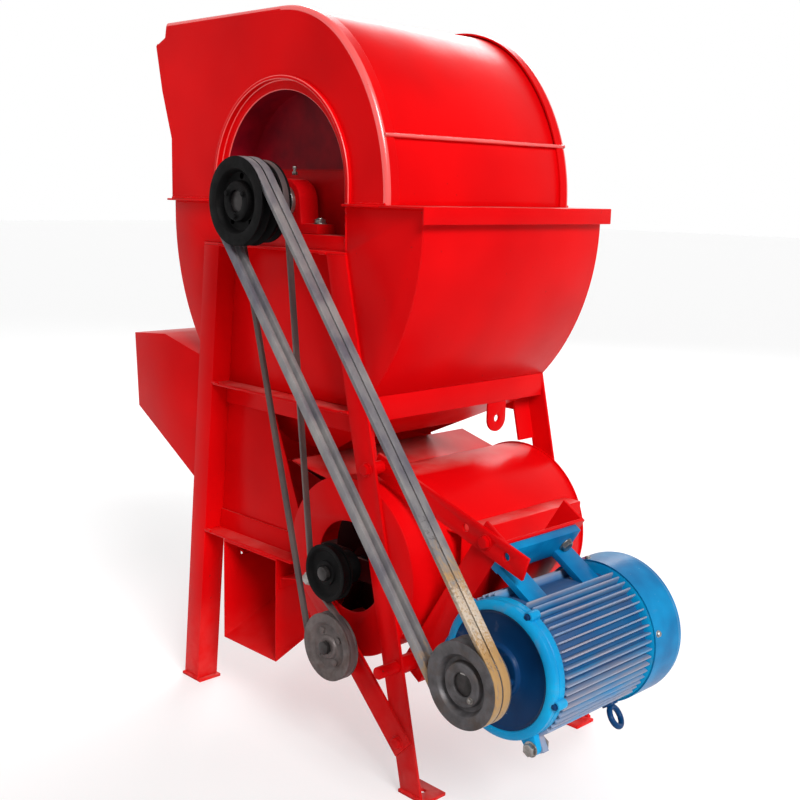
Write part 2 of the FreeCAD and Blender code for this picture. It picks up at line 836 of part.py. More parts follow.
def bearings():
    x_span = (-w.niche_half, w.niche_half)
    z_span = (BEAM_TOP - w.beam_height, BEAM_TOP)
    wall = w.sheet_wall
    beams = []
    for end in (NEAR, FAR):
        beams.append(cut(
            from_end(end, w.arch_proud, w.beam_width, [rectangle(x_span, z_span)]),
            from_end(end, w.arch_proud + wall, w.beam_width - 2 * wall,
                     [rectangle(x_span, (z_span[0] + wall, z_span[1] - wall))])))
    kept("bearing_beams", grouped(*beams))
    housing = [
        (-w.block_half_length, BEAM_TOP), (w.block_half_length, BEAM_TOP),
        (w.block_half_length, BEAM_TOP + w.block_foot), (w.block_neck, BEAM_TOP + w.block_foot),
        (w.block_dome, SHAFT_Z, w.block_dome, 1), (0, SHAFT_Z + w.block_dome, w.block_dome, 1),
        (-w.block_dome, SHAFT_Z), (-w.block_neck, BEAM_TOP + w.block_foot),
        (-w.block_half_length, BEAM_TOP + w.block_foot)]
    bore = (0, SHAFT_Z, w.shaft_radius + w.running_gap)
    kept("drum_bearings", grouped(*at_both_ends(
        w.block_y - w.block_width / 2, w.block_width, [housing], [bore])))


def spokes(count, start, depth, outline, x, z, first=0, skipped=()):
    """The same slab repeated round an axis along Y."""
    return [slab(start, depth, [outline], x=x, z=z, turn=first + TURN / count * index)
            for index in range(count) if index not in skipped]


def disc(start, depth, radius, bore, x, z):
    return slab(start, depth, [], [(0, 0, radius), (0, 0, bore)], x=x, z=z)


def drum():
    far_block = w.body_depth - w.block_y + w.block_width / 2
    kept("drum_shaft", along_y(
        w.shaft_radius, 0, SHAFT_Z, w.shaft_recess - w.main_face_y, far_block + w.shaft_far_reach))
    start = w.arch_proud + w.niche_depth + w.drum_end_gap
    length = w.body_depth - 2 * start
    bore = w.shaft_radius + w.running_gap
    wall = w.drum_disc_wall
    pieces = []
    for place_share in DRUM_DISC_SHARES:
        near_face = start + (length - wall) * place_share
        hub_start = start + (length - w.drum_hub_length) * place_share
        pieces.append(disc(near_face, wall, w.drum_disc_radius, bore, 0, SHAFT_Z))
        pieces.append(disc(hub_start, w.drum_hub_length, w.drum_hub_radius, bore, 0, SHAFT_Z))
    foot = w.beater_foot / 2
    blade = w.beater_wall / 2
    seat = w.drum_disc_radius - w.beater_wall
    beater = [
        (seat, -foot), (seat + w.beater_wall, -foot), (seat + w.beater_wall, -blade),
        (w.drum_radius, -blade), (w.drum_radius, blade), (seat + w.beater_wall, blade),
        (seat + w.beater_wall, foot), (seat, foot)]
    pieces += spokes(BEATER_COUNT, start, length, beater, 0, SHAFT_Z)
    kept("drum_rotor", fused(*pieces))


def grate_and_funnel():
    centre_z = SHAFT_Z
    inner = w.grate_radius
    outer = inner + w.grate_band
    rise = cosine(w.grate_half_angle)
    run = sine(w.grate_half_angle)
    band = [
        (-outer * run, centre_z - outer * rise, outer, 1), (0, centre_z - outer, outer, 1),
        (outer * run, centre_z - outer * rise), (inner * run, centre_z - inner * rise, inner, -1),
        (0, centre_z - inner, inner, -1), (-inner * run, centre_z - inner * rise)]
    start = w.angle_leg
    pieces = at_both_ends(start, w.grate_band_wall, [band])
    middle = inner + w.grate_band / 2
    for index in range(GRATE_RODS):
        share = (2 * index + 1) / GRATE_RODS - 1
        angle = w.grate_half_angle * share
        pieces.append(along_y(
            w.grate_rod_radius, middle * sine(angle), centre_z - middle * cosine(angle),
            start, w.body_depth - start))
    kept("concave_grate", fused(*pieces))
    top = w.trough_bottom - w.angle_leg + w.angle_wall
    left = trough_edge(LEFT, w.trough_radius, w.trough_bottom) + w.funnel_seat
    right = trough_edge(RIGHT, w.trough_radius, w.trough_bottom) - w.funnel_seat
    kept("funnel", cut(
        frustum(0, left, right, top, 0), frustum(w.sheet_wall, left, right, top, w.overrun)))


def frustum(inset, left, right, top, past):
    """The funnel's outer or inner space, open downwards."""
    wedge = doc.addObject("Part::Wedge", "Frustum")
    near = w.angle_leg
    low_near = near + w.funnel_low_inset
    sizes = {
        "Ymin": w.funnel_low_z - past, "Ymax": top + past,
        "Xmin": inset - w.funnel_low_left, "Xmax": w.funnel_low_right - inset,
        "Zmin": low_near + inset - w.body_depth, "Zmax": -low_near - inset,
        "X2min": left + inset, "X2max": right - inset,
        "Z2min": near + inset - w.body_depth, "Z2max": -near - inset}
    for name, size in sizes.items():
        setattr(wedge, name, size.value)
        wedge.setExpression(name, size.text)
    turn = FreeCAD.Rotation(FreeCAD.Vector(1, 0, 0), QUARTER)
    wedge.Placement = FreeCAD.Placement(FreeCAD.Vector(), turn)
    return place(wedge, 0, sized(0), 0)


def duct_and_chamber():
    wall = w.sheet_wall
    start = w.angle_wall
    depth = w.body_depth - 2 * start
    slant = wall * DUCT_SLANT_SHARE
    mouth = (-w.duct_mouth_x, w.duct_mouth_z)
    bend = (-w.duct_bend_x, w.duct_bend_z)
    inner = (-w.duct_inner_x, w.duct_inner_z)
    low = (-w.duct_low_x, w.duct_low_z)
    mouth_low = (-w.duct_mouth_low_x, w.duct_mouth_low_z)
    top_line = [(x, z - wall) for x, z in (mouth, bend, inner)]
    low_line = [(x, z + slant) for x, z in (mouth_low, low)]
    hollow = [
        between(top_line[1], top_line[0], PAST_END_SHARE), top_line[1],
        between(top_line[1], top_line[2], PAST_END_SHARE),
        between(low_line[0], low_line[1], PAST_END_SHARE),
        between(low_line[1], low_line[0], PAST_END_SHARE)]
    kept("husk_duct", cut(
        slab(start, depth, [[mouth, bend, inner, low, mouth_low]]),
        slab(start + wall, depth - 2 * wall, [hollow])))
    knee = w.low_rail_top - w.angle_wall
    left = -w.spout_left_x - wall
    right = wall - w.spout_right_x
    lip = w.spout_top - w.spout_lap
    side = slab(start, depth, [rectangle((-w.duct_low_x, wall - w.duct_low_x), (knee, w.duct_low_z))])
    slope = slab(w.angle_leg, w.body_depth - 2 * w.angle_leg, [[
        (-w.duct_low_x, knee + wall), (-w.duct_low_x, knee), (left - wall, w.spout_top),
        (left - wall, lip), (left, lip), (left, w.spout_top + wall),
        (wall - w.duct_low_x, knee + wall)]])
    fan_end = fan_point(w.fan_radius, w.fan_low_angle)
    chute = cut(
        slab(start + wall, depth - 2 * wall, [[
            fan_end, (right + wall, w.spout_top), (right + wall, lip), (right, lip),
            (right, w.spout_top + wall), fan_point(w.fan_radius - wall, w.fan_low_angle)][::-1]]),
        along_y(w.fan_radius, w.fan_x, w.fan_z, start, start + depth))
    kept("chamber_walls", grouped(fused(side, slope), chute))
    spout(wall)


def spout(wall):
    depth = w.spout_depth
    back = w.spout_back_z
    lap = w.spout_lap
    slope = (back - w.spout_lip_z) / depth
    past = w.overrun
    side = [
        (0, w.spout_lip_z), (depth, back), (depth, back + lap), (depth - lap, back + lap),
        (depth - w.spout_tail, w.spout_top), (w.rail_depth, w.spout_top),
        (w.rail_depth, w.low_rail_top - w.angle_wall), (0, w.low_rail_top - w.angle_wall)]
    inside = [
        (-past, w.spout_lip_z + wall - slope * past), (depth - wall, back + wall - slope * wall),
        (depth - wall, back + lap + past), (-past, back + lap + past)]
    width = w.spout_left_x - w.spout_right_x
    kept("grain_spout", cut(
        crosswise(-w.spout_left_x - wall, width + 2 * wall, [side]),
        crosswise(-w.spout_left_x, width, [inside])))


def fan_point(radius, angle):
    """A place on a circle round the fan shaft."""
    return w.fan_x + radius * cosine(angle), w.fan_z + radius * sine(angle)


def fan_casing():
    wall = w.sheet_wall
    start = w.angle_wall + wall
    depth = w.body_depth - 2 * start
    outer = w.fan_radius
    inner = outer - wall
    stops = [w.fan_low_angle, sized(3 * QUARTER), sized(0), sized(QUARTER)]
    roof = (w.fan_outlet_x, w.funnel_low_z)
    outside = [fan_point(outer, angle) + (outer, 1) for angle in stops]
    inside = [fan_point(inner, angle) + (inner, -1) for angle in stops[1:][::-1]]
    casing = (outside + [fan_point(outer, w.fan_high_angle), roof, (roof[0], roof[1] - wall)]
              + [fan_point(inner, w.fan_high_angle) + (inner, -1)] + inside
              + [fan_point(inner, w.fan_low_angle)])
    kept("fan_casing", slab(start, depth, [casing]))
    plate = outer + wall
    hole = w.fan_intake_radius
    kept("fan_end_plates", grouped(*at_both_ends(
        w.angle_wall, wall, [], [(w.fan_x, w.fan_z, plate), (w.fan_x, w.fan_z, hole)])))
    reach = hole + w.carrier_lap
    half = w.carrier_height / 2
    carrier = rectangle((w.fan_x - reach, w.fan_x + reach), (w.fan_z - half, w.fan_z + half))
    bore = (w.fan_x, w.fan_z, w.fan_shaft_radius + w.shaft_hole_gap)
    kept("fan_carriers", grouped(*at_both_ends(start, w.carrier_wall, [carrier], [bore])))
    kept("fan_bearings", grouped(*at_both_ends(
        start - w.fan_block_width, w.fan_block_width, [],
        [(w.fan_x, w.fan_z, w.fan_block_radius),
         (w.fan_x, w.fan_z, w.fan_shaft_radius + w.running_gap)])))
    low = w.ledge_top - w.ledge_drop
    span = (w.fan_x + outer / 2, w.ledge_reach)
    ledge = cut(
        block(span, (w.ledge_near, w.ledge_far), (low, w.ledge_top)),
        block((span[0] - wall, span[1] - wall), (w.ledge_near - wall, w.ledge_far + wall),
              (low + wall, w.ledge_top - wall)),
        along_y(outer, w.fan_x, w.fan_z, w.ledge_near - wall, w.ledge_far + wall))
    kept("fan_casing_ledge", ledge)


def fan_rotor():
    front = -w.fan_belt_y - w.thin_width / 2 - w.fan_shaft_tail
    wall = w.sheet_wall
    start = w.angle_wall + wall
    kept("fan_shaft", along_y(
        w.fan_shaft_radius, w.fan_x, w.fan_z, front,
        w.body_depth - start + w.fan_block_width + w.fan_shaft_tail))
    begin = start + w.carrier_wall + w.impeller_end_gap
    length = w.body_depth - 2 * begin
    bore = w.fan_shaft_radius + w.running_gap
    blade_wall = w.impeller_wall
    pieces = [disc(begin, length, w.impeller_hub_radius, bore, w.fan_x, w.fan_z)]
    for place_share in IMPELLER_DISC_SHARES:
        pieces.append(disc(begin + (length - blade_wall) * place_share, blade_wall,
                           w.impeller_radius * IMPELLER_DISC_SHARE, bore, w.fan_x, w.fan_z))
    blade = rectangle((w.impeller_radius * IMPELLER_INNER_SHARE, w.impeller_radius),
                      (-blade_wall / 2, blade_wall / 2))
    pieces += spokes(IMPELLER_BLADES, begin, length, blade, w.fan_x, w.fan_z)
    kept("fan_impeller", fused(*pieces))
    width = w.thin_width
    hub = bore + w.fan_pulley_hub_wall
    face = w.fan_pulley_radius - w.fan_pulley_flange
    kept("fan_pulley", turned([
        (0, bore), (0, w.fan_pulley_radius), (wall, w.fan_pulley_radius), (wall, face),
        (width - wall, face), (width - wall, w.fan_pulley_radius), (width, w.fan_pulley_radius),
        (width, hub), (width, bore)], w.fan_x, -w.fan_belt_y - width / 2, w.fan_z))


def sheave(radius, width, bore, centres, top_width, belt_height, rim):
    """The section of a grooved pulley, with a groove round each centre along its width."""
    web_low = (width - w.pulley_web) / 2
    web_high = (width + w.pulley_web) / 2
    hub = bore + w.pulley_hub_wall
    rim_in = radius - rim
    depth = belt_height + w.groove_floor_gap
    half_top = top_width / 2 + w.belt_gap
    half_floor = half_top - depth * BELT_SLOPE_SHARE
    outline = [(0, bore), (0, hub), (web_low, hub), (web_low, rim_in), (0, rim_in), (0, radius)]
    for centre in centres:
        outline += [
            (centre - half_top, radius), (centre - half_floor, radius - depth),
            (centre + half_floor, radius - depth), (centre + half_top, radius)]
    return outline + [
        (width, radius), (width, rim_in), (web_high, rim_in), (web_high, hub), (width, hub),
        (width, bore)]


def main_grooves():
    middle = w.main_width / 2
    return [middle - w.groove_pitch / 2, middle + w.groove_pitch / 2]


def pulleys():
    grooves = main_grooves()
    for label, radius, bore, x, z in (
            ("drum_pulley", w.drum_pulley_radius, w.shaft_radius, 0, SHAFT_Z),
            ("motor_pulley", w.motor_pulley_radius, w.motor_shaft_radius, w.motor_x, w.motor_z)):
        section = sheave(radius, w.main_width, bore + w.running_gap, grooves,
                         w.belt_width, w.belt_height, w.pulley_rim)
        kept(label, turned(section, x, -w.main_face_y, z))
    for label, radius, bore, x, z in (
            ("fan_drive_pulley", w.fan_drive_radius, w.shaft_radius, 0, SHAFT_Z),
            ("idler_pulley", w.idler_radius, w.idler_axle_radius, w.idler_x, w.idler_z)):
        section = sheave(radius, w.thin_width, bore + w.running_gap, [w.thin_width / 2],
                         w.fan_belt_width, w.fan_belt_height, w.pulley_rim - w.arch_lip)
        kept(label, turned(section, x, -w.fan_belt_y - w.thin_width / 2, z))


def belt(y, width, height, wheels):
    """A closed belt of wedge section over wheels (x, z, radius); a radius below 0 lies outside."""
    flats = []
    for index, (x, z, radius) in enumerate(wheels):
        next_x, next_z, next_radius = wheels[(index + 1) % len(wheels)]
        run = FreeCAD.Vector(next_x - x, 0, next_z - z)
        length = run.Length
        run.normalize()
        lean = (radius - next_radius) / length
        normal = run * lean + FreeCAD.Vector(run.z, 0, -run.x) * math.sqrt(1 - lean ** 2)
        centre = FreeCAD.Vector(x, 0, z)
        next_centre = FreeCAD.Vector(next_x, 0, next_z)
        flats.append((centre + normal * radius, next_centre + normal * next_radius, normal))
    edges = []
    for index, (start, end, normal) in enumerate(flats):
        x, z, radius = wheels[(index + 1) % len(wheels)]
        next_start, next_end, next_normal = flats[(index + 1) % len(flats)]
        first = math.atan2(normal.z, normal.x)
        sweep = (math.atan2(next_normal.z, next_normal.x) - first) % math.tau
        if radius < 0:
            sweep -= math.tau
        middle = first + sweep / 2
        crown = FreeCAD.Vector(x + radius * math.cos(middle), 0, z + radius * math.sin(middle))
        edges.append(Part.LineSegment(start, end).toShape())
        edges.append(Part.Arc(end, crown, next_start).toShape())
    start, end, normal = flats[0]
    across_belt = FreeCAD.Vector(0, width / 2, 0)
    narrow = across_belt * (1 - 2 * height * BELT_SLOPE_SHARE / width)
    foot = start - normal * height
    section = Part.makePolygon([start - across_belt, start + across_belt, foot + narrow, foot - narrow,
                                start - across_belt])
    shell = Part.BRepOffsetAPI.MakePipeShell(Part.Wire(edges))
    shell.setBiNormalMode(FreeCAD.Vector(0, 1, 0))
    shell.add(section, False, False)
    shell.build()
    shell.makeSolid()
    feature = doc.addObject("Part::Feature", "Belt")
    feature.Shape = shell.shape()
    return place(feature, 0, sized(y), 0)


def belts():
    main = [(0, SHAFT_Z.value, w.drum_pulley_radius.value),
            (w.motor_x.value, w.motor_z.value, w.motor_pulley_radius.value)]
    kept("main_belts", grouped(*[
        belt(groove - w.main_face_y, w.belt_width.value, w.belt_height.value, main)
        for groove in main_grooves()]))
    fan_face = w.fan_pulley_radius - w.fan_pulley_flange + w.belt_gap
    kept("fan_belt", belt(-w.fan_belt_y, w.fan_belt_width.value, w.fan_belt_height.value, [
        (0, SHAFT_Z.value, w.fan_drive_radius.value),
        (w.idler_x.value, w.idler_z.value, w.idler_radius.value),
        (w.fan_x.value, w.fan_z.value, -fan_face.value)]))


def on_motor(u, v):
    """Where a place in the motor's own turned frame lies in the machine."""
    lean = cosine(w.motor_tilt)
    fall = sine(w.motor_tilt)
    return w.motor_x + u * lean + v * fall, w.motor_z - u * fall + v * lean


PIVOT = on_motor(-w.motor_height - w.pivot_set_back, -w.pivot_drop)


def motor_slab(start, depth, outlines, circles=()):
    return slab(start, depth, outlines, circles, x=w.motor_x, z=w.motor_z, turn=w.motor_tilt)


def turned_slab(turn, start, depth, outlines):
    """A motor slab turned on round the shaft, away from the motor's crown."""
    return slab(start, depth, outlines, x=w.motor_x, z=w.motor_z, turn=w.motor_tilt + turn)


def motor_disc(start, depth, radius, bore):
    return motor_slab(start, depth, [], [(0, 0, radius), (0, 0, bore)])


def motor_head(u, v, y, height, radius, corners=6):
    """A head whose axis points away from the feet's plane, in the motor's frame."""
    x, z = on_motor(u, v)
    return place(bar(radius, height, corners), x, sized(y), z, w.motor_tilt + QUARTER)


def motor():
    housing_start = w.motor_front_y + w.shield_depth
    cover_start = w.motor_back_y - w.cover_depth
    bore = w.motor_radius - w.motor_wall
    gap = w.running_gap
    shield_end = cover_start + w.rear_shield_wall
    fin = rectangle((w.motor_radius - w.motor_wall / 2, w.motor_radius + w.fin_height),
                    (-w.fin_wall / 2, w.fin_wall / 2))
    fins = spokes(FIN_COUNT, housing_start, cover_start - housing_start, fin, w.motor_x, w.motor_z,
                  w.motor_tilt, FINS_LEFT_OUT)
    crown = turned_slab(w.crown_turn, housing_start, cover_start - housing_start, [rectangle(
        (w.motor_radius - w.motor_wall / 2, w.motor_radius + w.fin_height),
        (-w.crown_half, w.crown_half))])
    ear = [rectangle((w.motor_radius - w.motor_wall / 2, w.ear_reach), (-w.ear_half, w.ear_half))]
    kept("motor_housing", fused(
        motor_disc(housing_start, cover_start - housing_start, w.motor_radius, bore),
        turned_slab(w.ear_turn, housing_start, w.ear_depth, ear), crown, *fins))
    kept("motor_stator", motor_disc(w.stator_near, w.stator_length, bore, w.stator_bore))
    shaft_hole = w.motor_shaft_radius + gap
    front = turned([
        (0, shaft_hole), (0, w.shield_boss_radius), (w.shield_boss, w.shield_boss_radius),
        (w.shield_boss, w.shield_radius), (w.shield_depth, w.shield_radius), (w.shield_depth, bore),
        (2 * w.shield_boss, bore), (2 * w.shield_boss, shaft_hole)],
        w.motor_x, w.motor_front_y, w.motor_z, w.motor_tilt)
    ear_start = housing_start - w.ear_depth
    front = fused(front, turned_slab(w.ear_turn, ear_start, w.ear_depth, ear))
    rear = motor_disc(cover_start, w.rear_shield_wall, w.cover_radius - w.cover_wall, shaft_hole)
    kept("motor_shields", grouped(front, rear))
    wall = w.cover_wall
    drum_wall = turned([
        (0, w.cover_radius - wall), (0, w.cover_radius), (w.cover_depth, w.cover_radius),
        (w.cover_depth, 0), (w.cover_depth - wall, 0), (w.cover_depth - wall, w.cover_radius - wall)],
        w.motor_x, cover_start, w.motor_z, w.motor_tilt)
    slots = []
    for index in range(GRILLE_SLOTS):
        angle = TURN / GRILLE_SLOTS * index
        x, z = on_motor(w.grille_radius * cosine(angle), w.grille_radius * sine(angle))
        slots.append(along_y(w.grille_slot, x, z, w.motor_back_y - 2 * wall, w.motor_back_y + wall))
    kept("motor_fan_cover", cut(drum_wall, *slots))
    tip = w.motor_shaft_recess - w.main_face_y
    core = (w.stator_near - tip, w.stator_near + w.stator_length - tip)
    core_radius = w.stator_bore - w.rotor_gap
    tail = w.motor_shaft_back - tip
    kept("motor_rotor", turned([
        (0, 0), (0, w.motor_shaft_radius), (core[0], w.motor_shaft_radius), (core[0], core_radius),
        (core[1], core_radius), (core[1], w.motor_shaft_radius), (tail, w.motor_shaft_radius),
        (tail, 0)], w.motor_x, tip, w.motor_z, w.motor_tilt))
    blade = rectangle((w.motor_fan_hub_radius - wall, w.motor_fan_radius), (-wall / 2, wall / 2))
    kept("motor_fan", fused(
        motor_disc(w.motor_fan_y, w.motor_fan_width, w.motor_fan_hub_radius, shaft_hole),
        *spokes(COOLING_BLADES, w.motor_fan_y, w.motor_fan_width, blade, w.motor_x, w.motor_z)))
    eyebolt()
    reach = w.ear_reach - w.ear_bolt_inset
    ear_bolt = on_motor(reach * cosine(w.ear_turn), -reach * sine(w.ear_turn))
    return motor_feet() + bolt(*ear_bolt, ear_start, housing_start + w.ear_depth)


def eyebolt():
    """A ring on a collar, made upright and turned out from the flat on the motor's crown."""
    ring = doc.addObject("Part::Torus", "Ring")
    ring.setExpression("Radius1", w.eye_radius.text)
    ring.setExpression("Radius2", w.eye_wire.text)
    stood = FreeCAD.Rotation(FreeCAD.Vector(0, 1, 0), QUARTER)
    twisted = FreeCAD.Rotation(FreeCAD.Vector(0, 0, 1), EYE_TWIST)
    ring.Placement = FreeCAD.Placement(FreeCAD.Vector(), twisted * stood)
    ring.setExpression("Placement.Base.z", (w.eye_collar + w.eye_radius + w.eye_wire / 2).text)
    whole = fused(ring, bar(w.eye_collar_radius, w.eye_collar))
    reach = w.motor_radius + w.fin_height
    eye_x, eye_z = on_motor(reach * cosine(w.crown_turn), -reach * sine(w.crown_turn))
    kept("motor_eyebolt", place(whole, eye_x, w.eye_y, eye_z, w.motor_tilt + w.crown_turn + QUARTER))


def motor_feet():
    sole = -w.motor_height
    top = sole + w.foot_pad_wall
    pieces = []
    bolts = []
    for side in (LEFT, RIGHT):
        outer = side * w.foot_reach
        inner = side * (w.foot_reach - w.foot_pad)
        web_in = side * w.foot_web_reach
        web_out = side * (w.foot_web_reach + w.foot_web)
        web = [rectangle((top, -w.foot_web), (web_in, web_out))]
        pieces.append(cut(
            fused(
                motor_slab(w.foot_near_y, w.foot_far_y - w.foot_near_y,
                           [rectangle((sole, top), (inner, outer))]),
                motor_slab(w.foot_near_y, w.foot_block, web),
                motor_slab(w.foot_far_y - w.foot_block, w.foot_block, web)),
            motor_disc(0, w.foot_far_y + w.foot_near_y, w.motor_radius, w.overrun)))
        for y in (w.foot_near_y + w.foot_block / 2, w.foot_far_y - w.foot_block / 2):
            v = side * (w.foot_web_reach + w.foot_web + w.bolt_head_radius)
            bolts.append(motor_head(top, v, y, w.bolt_head, w.bolt_head_radius))
            bolts.append(motor_head(
                sole - w.mount_wall - w.bolt_head, v, y, w.bolt_head, w.bolt_head_radius))
    kept("motor_feet", grouped(*pieces))
    return bolts


def flat_bar(start, end, width, past, at, depth, holes=()):
    """A flat bar between two bolt places, longer by a little at both ends."""
    run = (end[0] - start[0], end[1] - start[1])
    length = root(run[0] * run[0] + run[1] * run[1])
    ahead = (run[0] / length, run[1] / length)
    aside = (-ahead[1] * width / 2, ahead[0] * width / 2)
    tail = (start[0] - ahead[0] * past, start[1] - ahead[1] * past)
    tip = (end[0] + ahead[0] * past, end[1] + ahead[1] * past)
    outline = [
        (tail[0] - aside[0], tail[1] - aside[1]), (tip[0] - aside[0], tip[1] - aside[1]),
        (tip[0] + aside[0], tip[1] + aside[1]), (tail[0] + aside[0], tail[1] + aside[1])]
    circles = [(start[0] + ahead[0] * reach, start[1] + ahead[1] * reach, radius)
               for reach, radius in holes]
    return slab(at, depth, [outline], circles)


def bolt(x, z, front, back):
    """A head before a joint along Y and a nut behind it."""
    return [
        along_y(w.bolt_head_radius, x, z, front - w.bolt_head, front, 6),
        along_y(w.bolt_head_radius, x, z, back, back + w.nut_height, 6)]


def spacer(x, z, start, end):
    return along_y(w.spacer_radius, x, z, start, end)


def motor_mount():
    sole = -w.motor_height
    back = sole - w.mount_wall
    span = (-w.mount_down, w.mount_up)
    ear = rectangle((back - w.mount_flange, back), span)
    bearing_hole = (-w.motor_height - w.pivot_set_back, -w.pivot_drop, w.pivot_radius + w.running_gap)
    depth = w.mount_far_y - w.mount_near_y
    kept("motor_mount", fused(
        motor_slab(w.mount_near_y, depth, [rectangle((back, sole), span)]),
        motor_slab(w.mount_near_y, w.mount_wall, [ear], [bearing_hole]),
        motor_slab(w.mount_far_y - w.mount_wall, w.mount_wall, [ear], [bearing_hole])))
    kept("motor_pivot_rod", fused(
        along_y(w.pivot_radius, *PIVOT, -w.pivot_near_reach, w.body_depth + w.pivot_far_reach),
        along_y(w.pivot_collar_radius, *PIVOT, w.angle_wall, w.mount_near_y)))


def strap_and_braces():
    strap_front = w.mount_near_y - w.strap_wall
    left = (w.strap_left_x, w.strap_left_z)
    right = (w.strap_right_x, w.strap_right_z)
    holes = [(w.strap_bolt_run - w.strap_hole_pitch, w.strap_hole),
             (w.strap_bolt_run + w.strap_hole_pitch, w.strap_hole)]
    kept("tension_strap", flat_bar(
        left, right, w.strap_width, w.strap_end, strap_front, w.strap_wall, holes))
    run = right[0] - left[0]
    rise = right[1] - left[1]
    share = w.strap_bolt_run / root(run * run + rise * rise)
    mount_bolt = between(left, right, share)
    low = (w.brace_left_x, w.brace_left_z)
    high = (w.brace_right_x, w.brace_right_z)
    wall = w.brace_wall
    near = flat_bar(low, high, w.brace_width, w.brace_end, -wall, wall)
    hole = along_y(
        w.idler_axle_radius + w.running_gap, w.idler_x, w.idler_z, -wall - w.overrun, w.overrun)
    far = flat_bar(low, high, w.brace_width, w.brace_end, w.body_depth, wall)
    kept("braces", grouped(cut(near, hole), far))
    front = -w.fan_belt_y - w.thin_width / 2 - w.idler_side_gap
    behind = w.thin_width + 2 * w.idler_side_gap
    head = w.bolt_head
    kept("idler_axle", turned([
        (0, 0), (0, w.idler_head_radius), (head, w.idler_head_radius), (head, w.idler_axle_radius),
        (head + behind, w.idler_axle_radius), (head + behind, w.idler_head_radius),
        (head - front - wall, w.idler_head_radius), (head - front - wall, w.idler_axle_radius),
        (head - front, w.idler_axle_radius), (head - front, 0)],
        w.idler_x, front - head, w.idler_z))
    depth = w.body_depth
    leg = w.angle_wall
    plate = w.angle_wall + w.sheet_wall
    pieces = [spacer(*left, leg, strap_front), spacer(*low, 0, leg), spacer(*low, depth - leg, depth)]
    pieces += bolt(*left, 0, w.mount_near_y)
    pieces += bolt(*mount_bolt, strap_front, w.mount_near_y + w.mount_wall)
    pieces += bolt(*low, -wall, plate)
    pieces += bolt(*high, -wall, leg)
    pieces.append(along_y(w.idler_head_radius, w.idler_x, w.idler_z, 0, w.nut_height, 6))
    return pieces


def bearing_bolts():
    low = BEAM_TOP + w.block_foot
    return [upright(w.bolt_head_radius, side * w.block_bolt_x, y, low, low + w.bolt_head, 6)
            for side in (LEFT, RIGHT) for y in (w.block_y, w.body_depth - w.block_y)]


def hanging_lug():
    outer = trough_edge(RIGHT, w.trough_radius, w.trough_bottom)
    radius = w.lug_radius
    top = w.trough_bottom - w.angle_leg + w.angle_wall
    shape = [
        (w.lug_y - radius, w.lug_z, radius, 1), (w.lug_y, w.lug_z - radius, radius, 1),
        (w.lug_y + radius, w.lug_z), (w.lug_y + radius, top), (w.lug_y - radius, top)]
    hole = (w.lug_y, w.lug_z, w.lug_hole)
    kept("hanging_lug", crosswise(outer - w.angle_wall, w.angle_wall, [shape], [hole]))


def machine():
    end_plate(NEAR)
    end_plate(FAR)
    hood()
    arches_and_niches()
    flange_frame()
    trough()
    legs()
    rails_and_panels()
    bearings()
    drum()
    grate_and_funnel()
    duct_and_chamber()
    fan_casing()
    fan_rotor()
    pulleys()
    belts()
    motor_bolts = motor()
    motor_mount()
    hanging_lug()
    kept("bolts", grouped(*motor_bolts, *strap_and_braces(), *bearing_bolts()))


machine()
doc.recompute()
for thing in doc.Objects:
    if "Invalid" in thing.State or "Error" in thing.State:
        raise RuntimeError(f"{thing.Name} did not build: {thing.State}")
os.makedirs("parts", exist_ok=True)
for node in nodes:
    if node.Shape.isNull() or not node.Shape.isValid():
        raise RuntimeError(f"{node.Label} has no valid shape")
for node in nodes:
    node.Shape.exportStep(f"parts/{node.Label}.step")
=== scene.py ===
"""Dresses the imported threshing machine: sheet metal, stand, fan, drive, motor, light and camera."""

import logging
import math
import random
from dataclasses import dataclass, field
from enum import Enum
from typing import Callable, Sequence

import bmesh
import bpy
from mathutils import Matrix, Vector


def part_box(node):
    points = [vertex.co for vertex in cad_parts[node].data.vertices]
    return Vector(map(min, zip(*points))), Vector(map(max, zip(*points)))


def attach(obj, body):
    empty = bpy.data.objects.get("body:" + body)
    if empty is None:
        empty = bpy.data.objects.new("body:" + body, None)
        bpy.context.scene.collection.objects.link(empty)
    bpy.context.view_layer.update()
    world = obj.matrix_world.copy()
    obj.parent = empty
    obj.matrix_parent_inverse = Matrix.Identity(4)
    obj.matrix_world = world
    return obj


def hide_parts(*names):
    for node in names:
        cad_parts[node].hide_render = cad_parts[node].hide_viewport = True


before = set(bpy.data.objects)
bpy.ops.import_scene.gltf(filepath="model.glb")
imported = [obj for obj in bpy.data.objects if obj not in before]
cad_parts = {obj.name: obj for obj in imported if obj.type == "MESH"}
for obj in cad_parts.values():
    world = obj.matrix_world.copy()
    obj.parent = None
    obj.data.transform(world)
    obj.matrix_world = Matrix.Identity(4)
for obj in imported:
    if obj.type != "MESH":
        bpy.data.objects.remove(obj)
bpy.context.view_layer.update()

LOG = logging.getLogger("thresher")
Piece = bpy.types.Object
Socket = bpy.types.NodeSocket
MM = 0.001
MERGE = 0.01 * MM
SEED_SIZE = 10 * MM
DRUM_AXIS = Vector((-0.036, 0.0, 1.028))
MOTOR_AXIS = Vector((0.538, 0.0, 0.309))
IDLER_AXIS = Vector((0.170, 0.0, 0.244))
FAN_AXIS = Vector((0.163, 0.0, 0.381))
MOTOR_TILT = math.radians(32.0)
EAR_TURN = math.radians(29.5)
NEAR_PLANE = -0.245
FAR_PLANE = 0.245
ENDS = ((NEAR_PLANE, 1), (FAR_PLANE, -1))
MAIN_FACE = -0.346
THIN_FACE = -0.299
UP = Vector((0, 0, 1))
NEAR = Vector((0, -1, 0))
FAR = Vector((0, 1, 0))
FIN_TIP = (0.1115, 0.1165)
# Radii over which the painted shade at the fin roots fades in.
FIN_ROOT_SHADE = (0.110, 0.105)
FRAY_CENTRE = Vector((0.620, -0.326, 0.330))
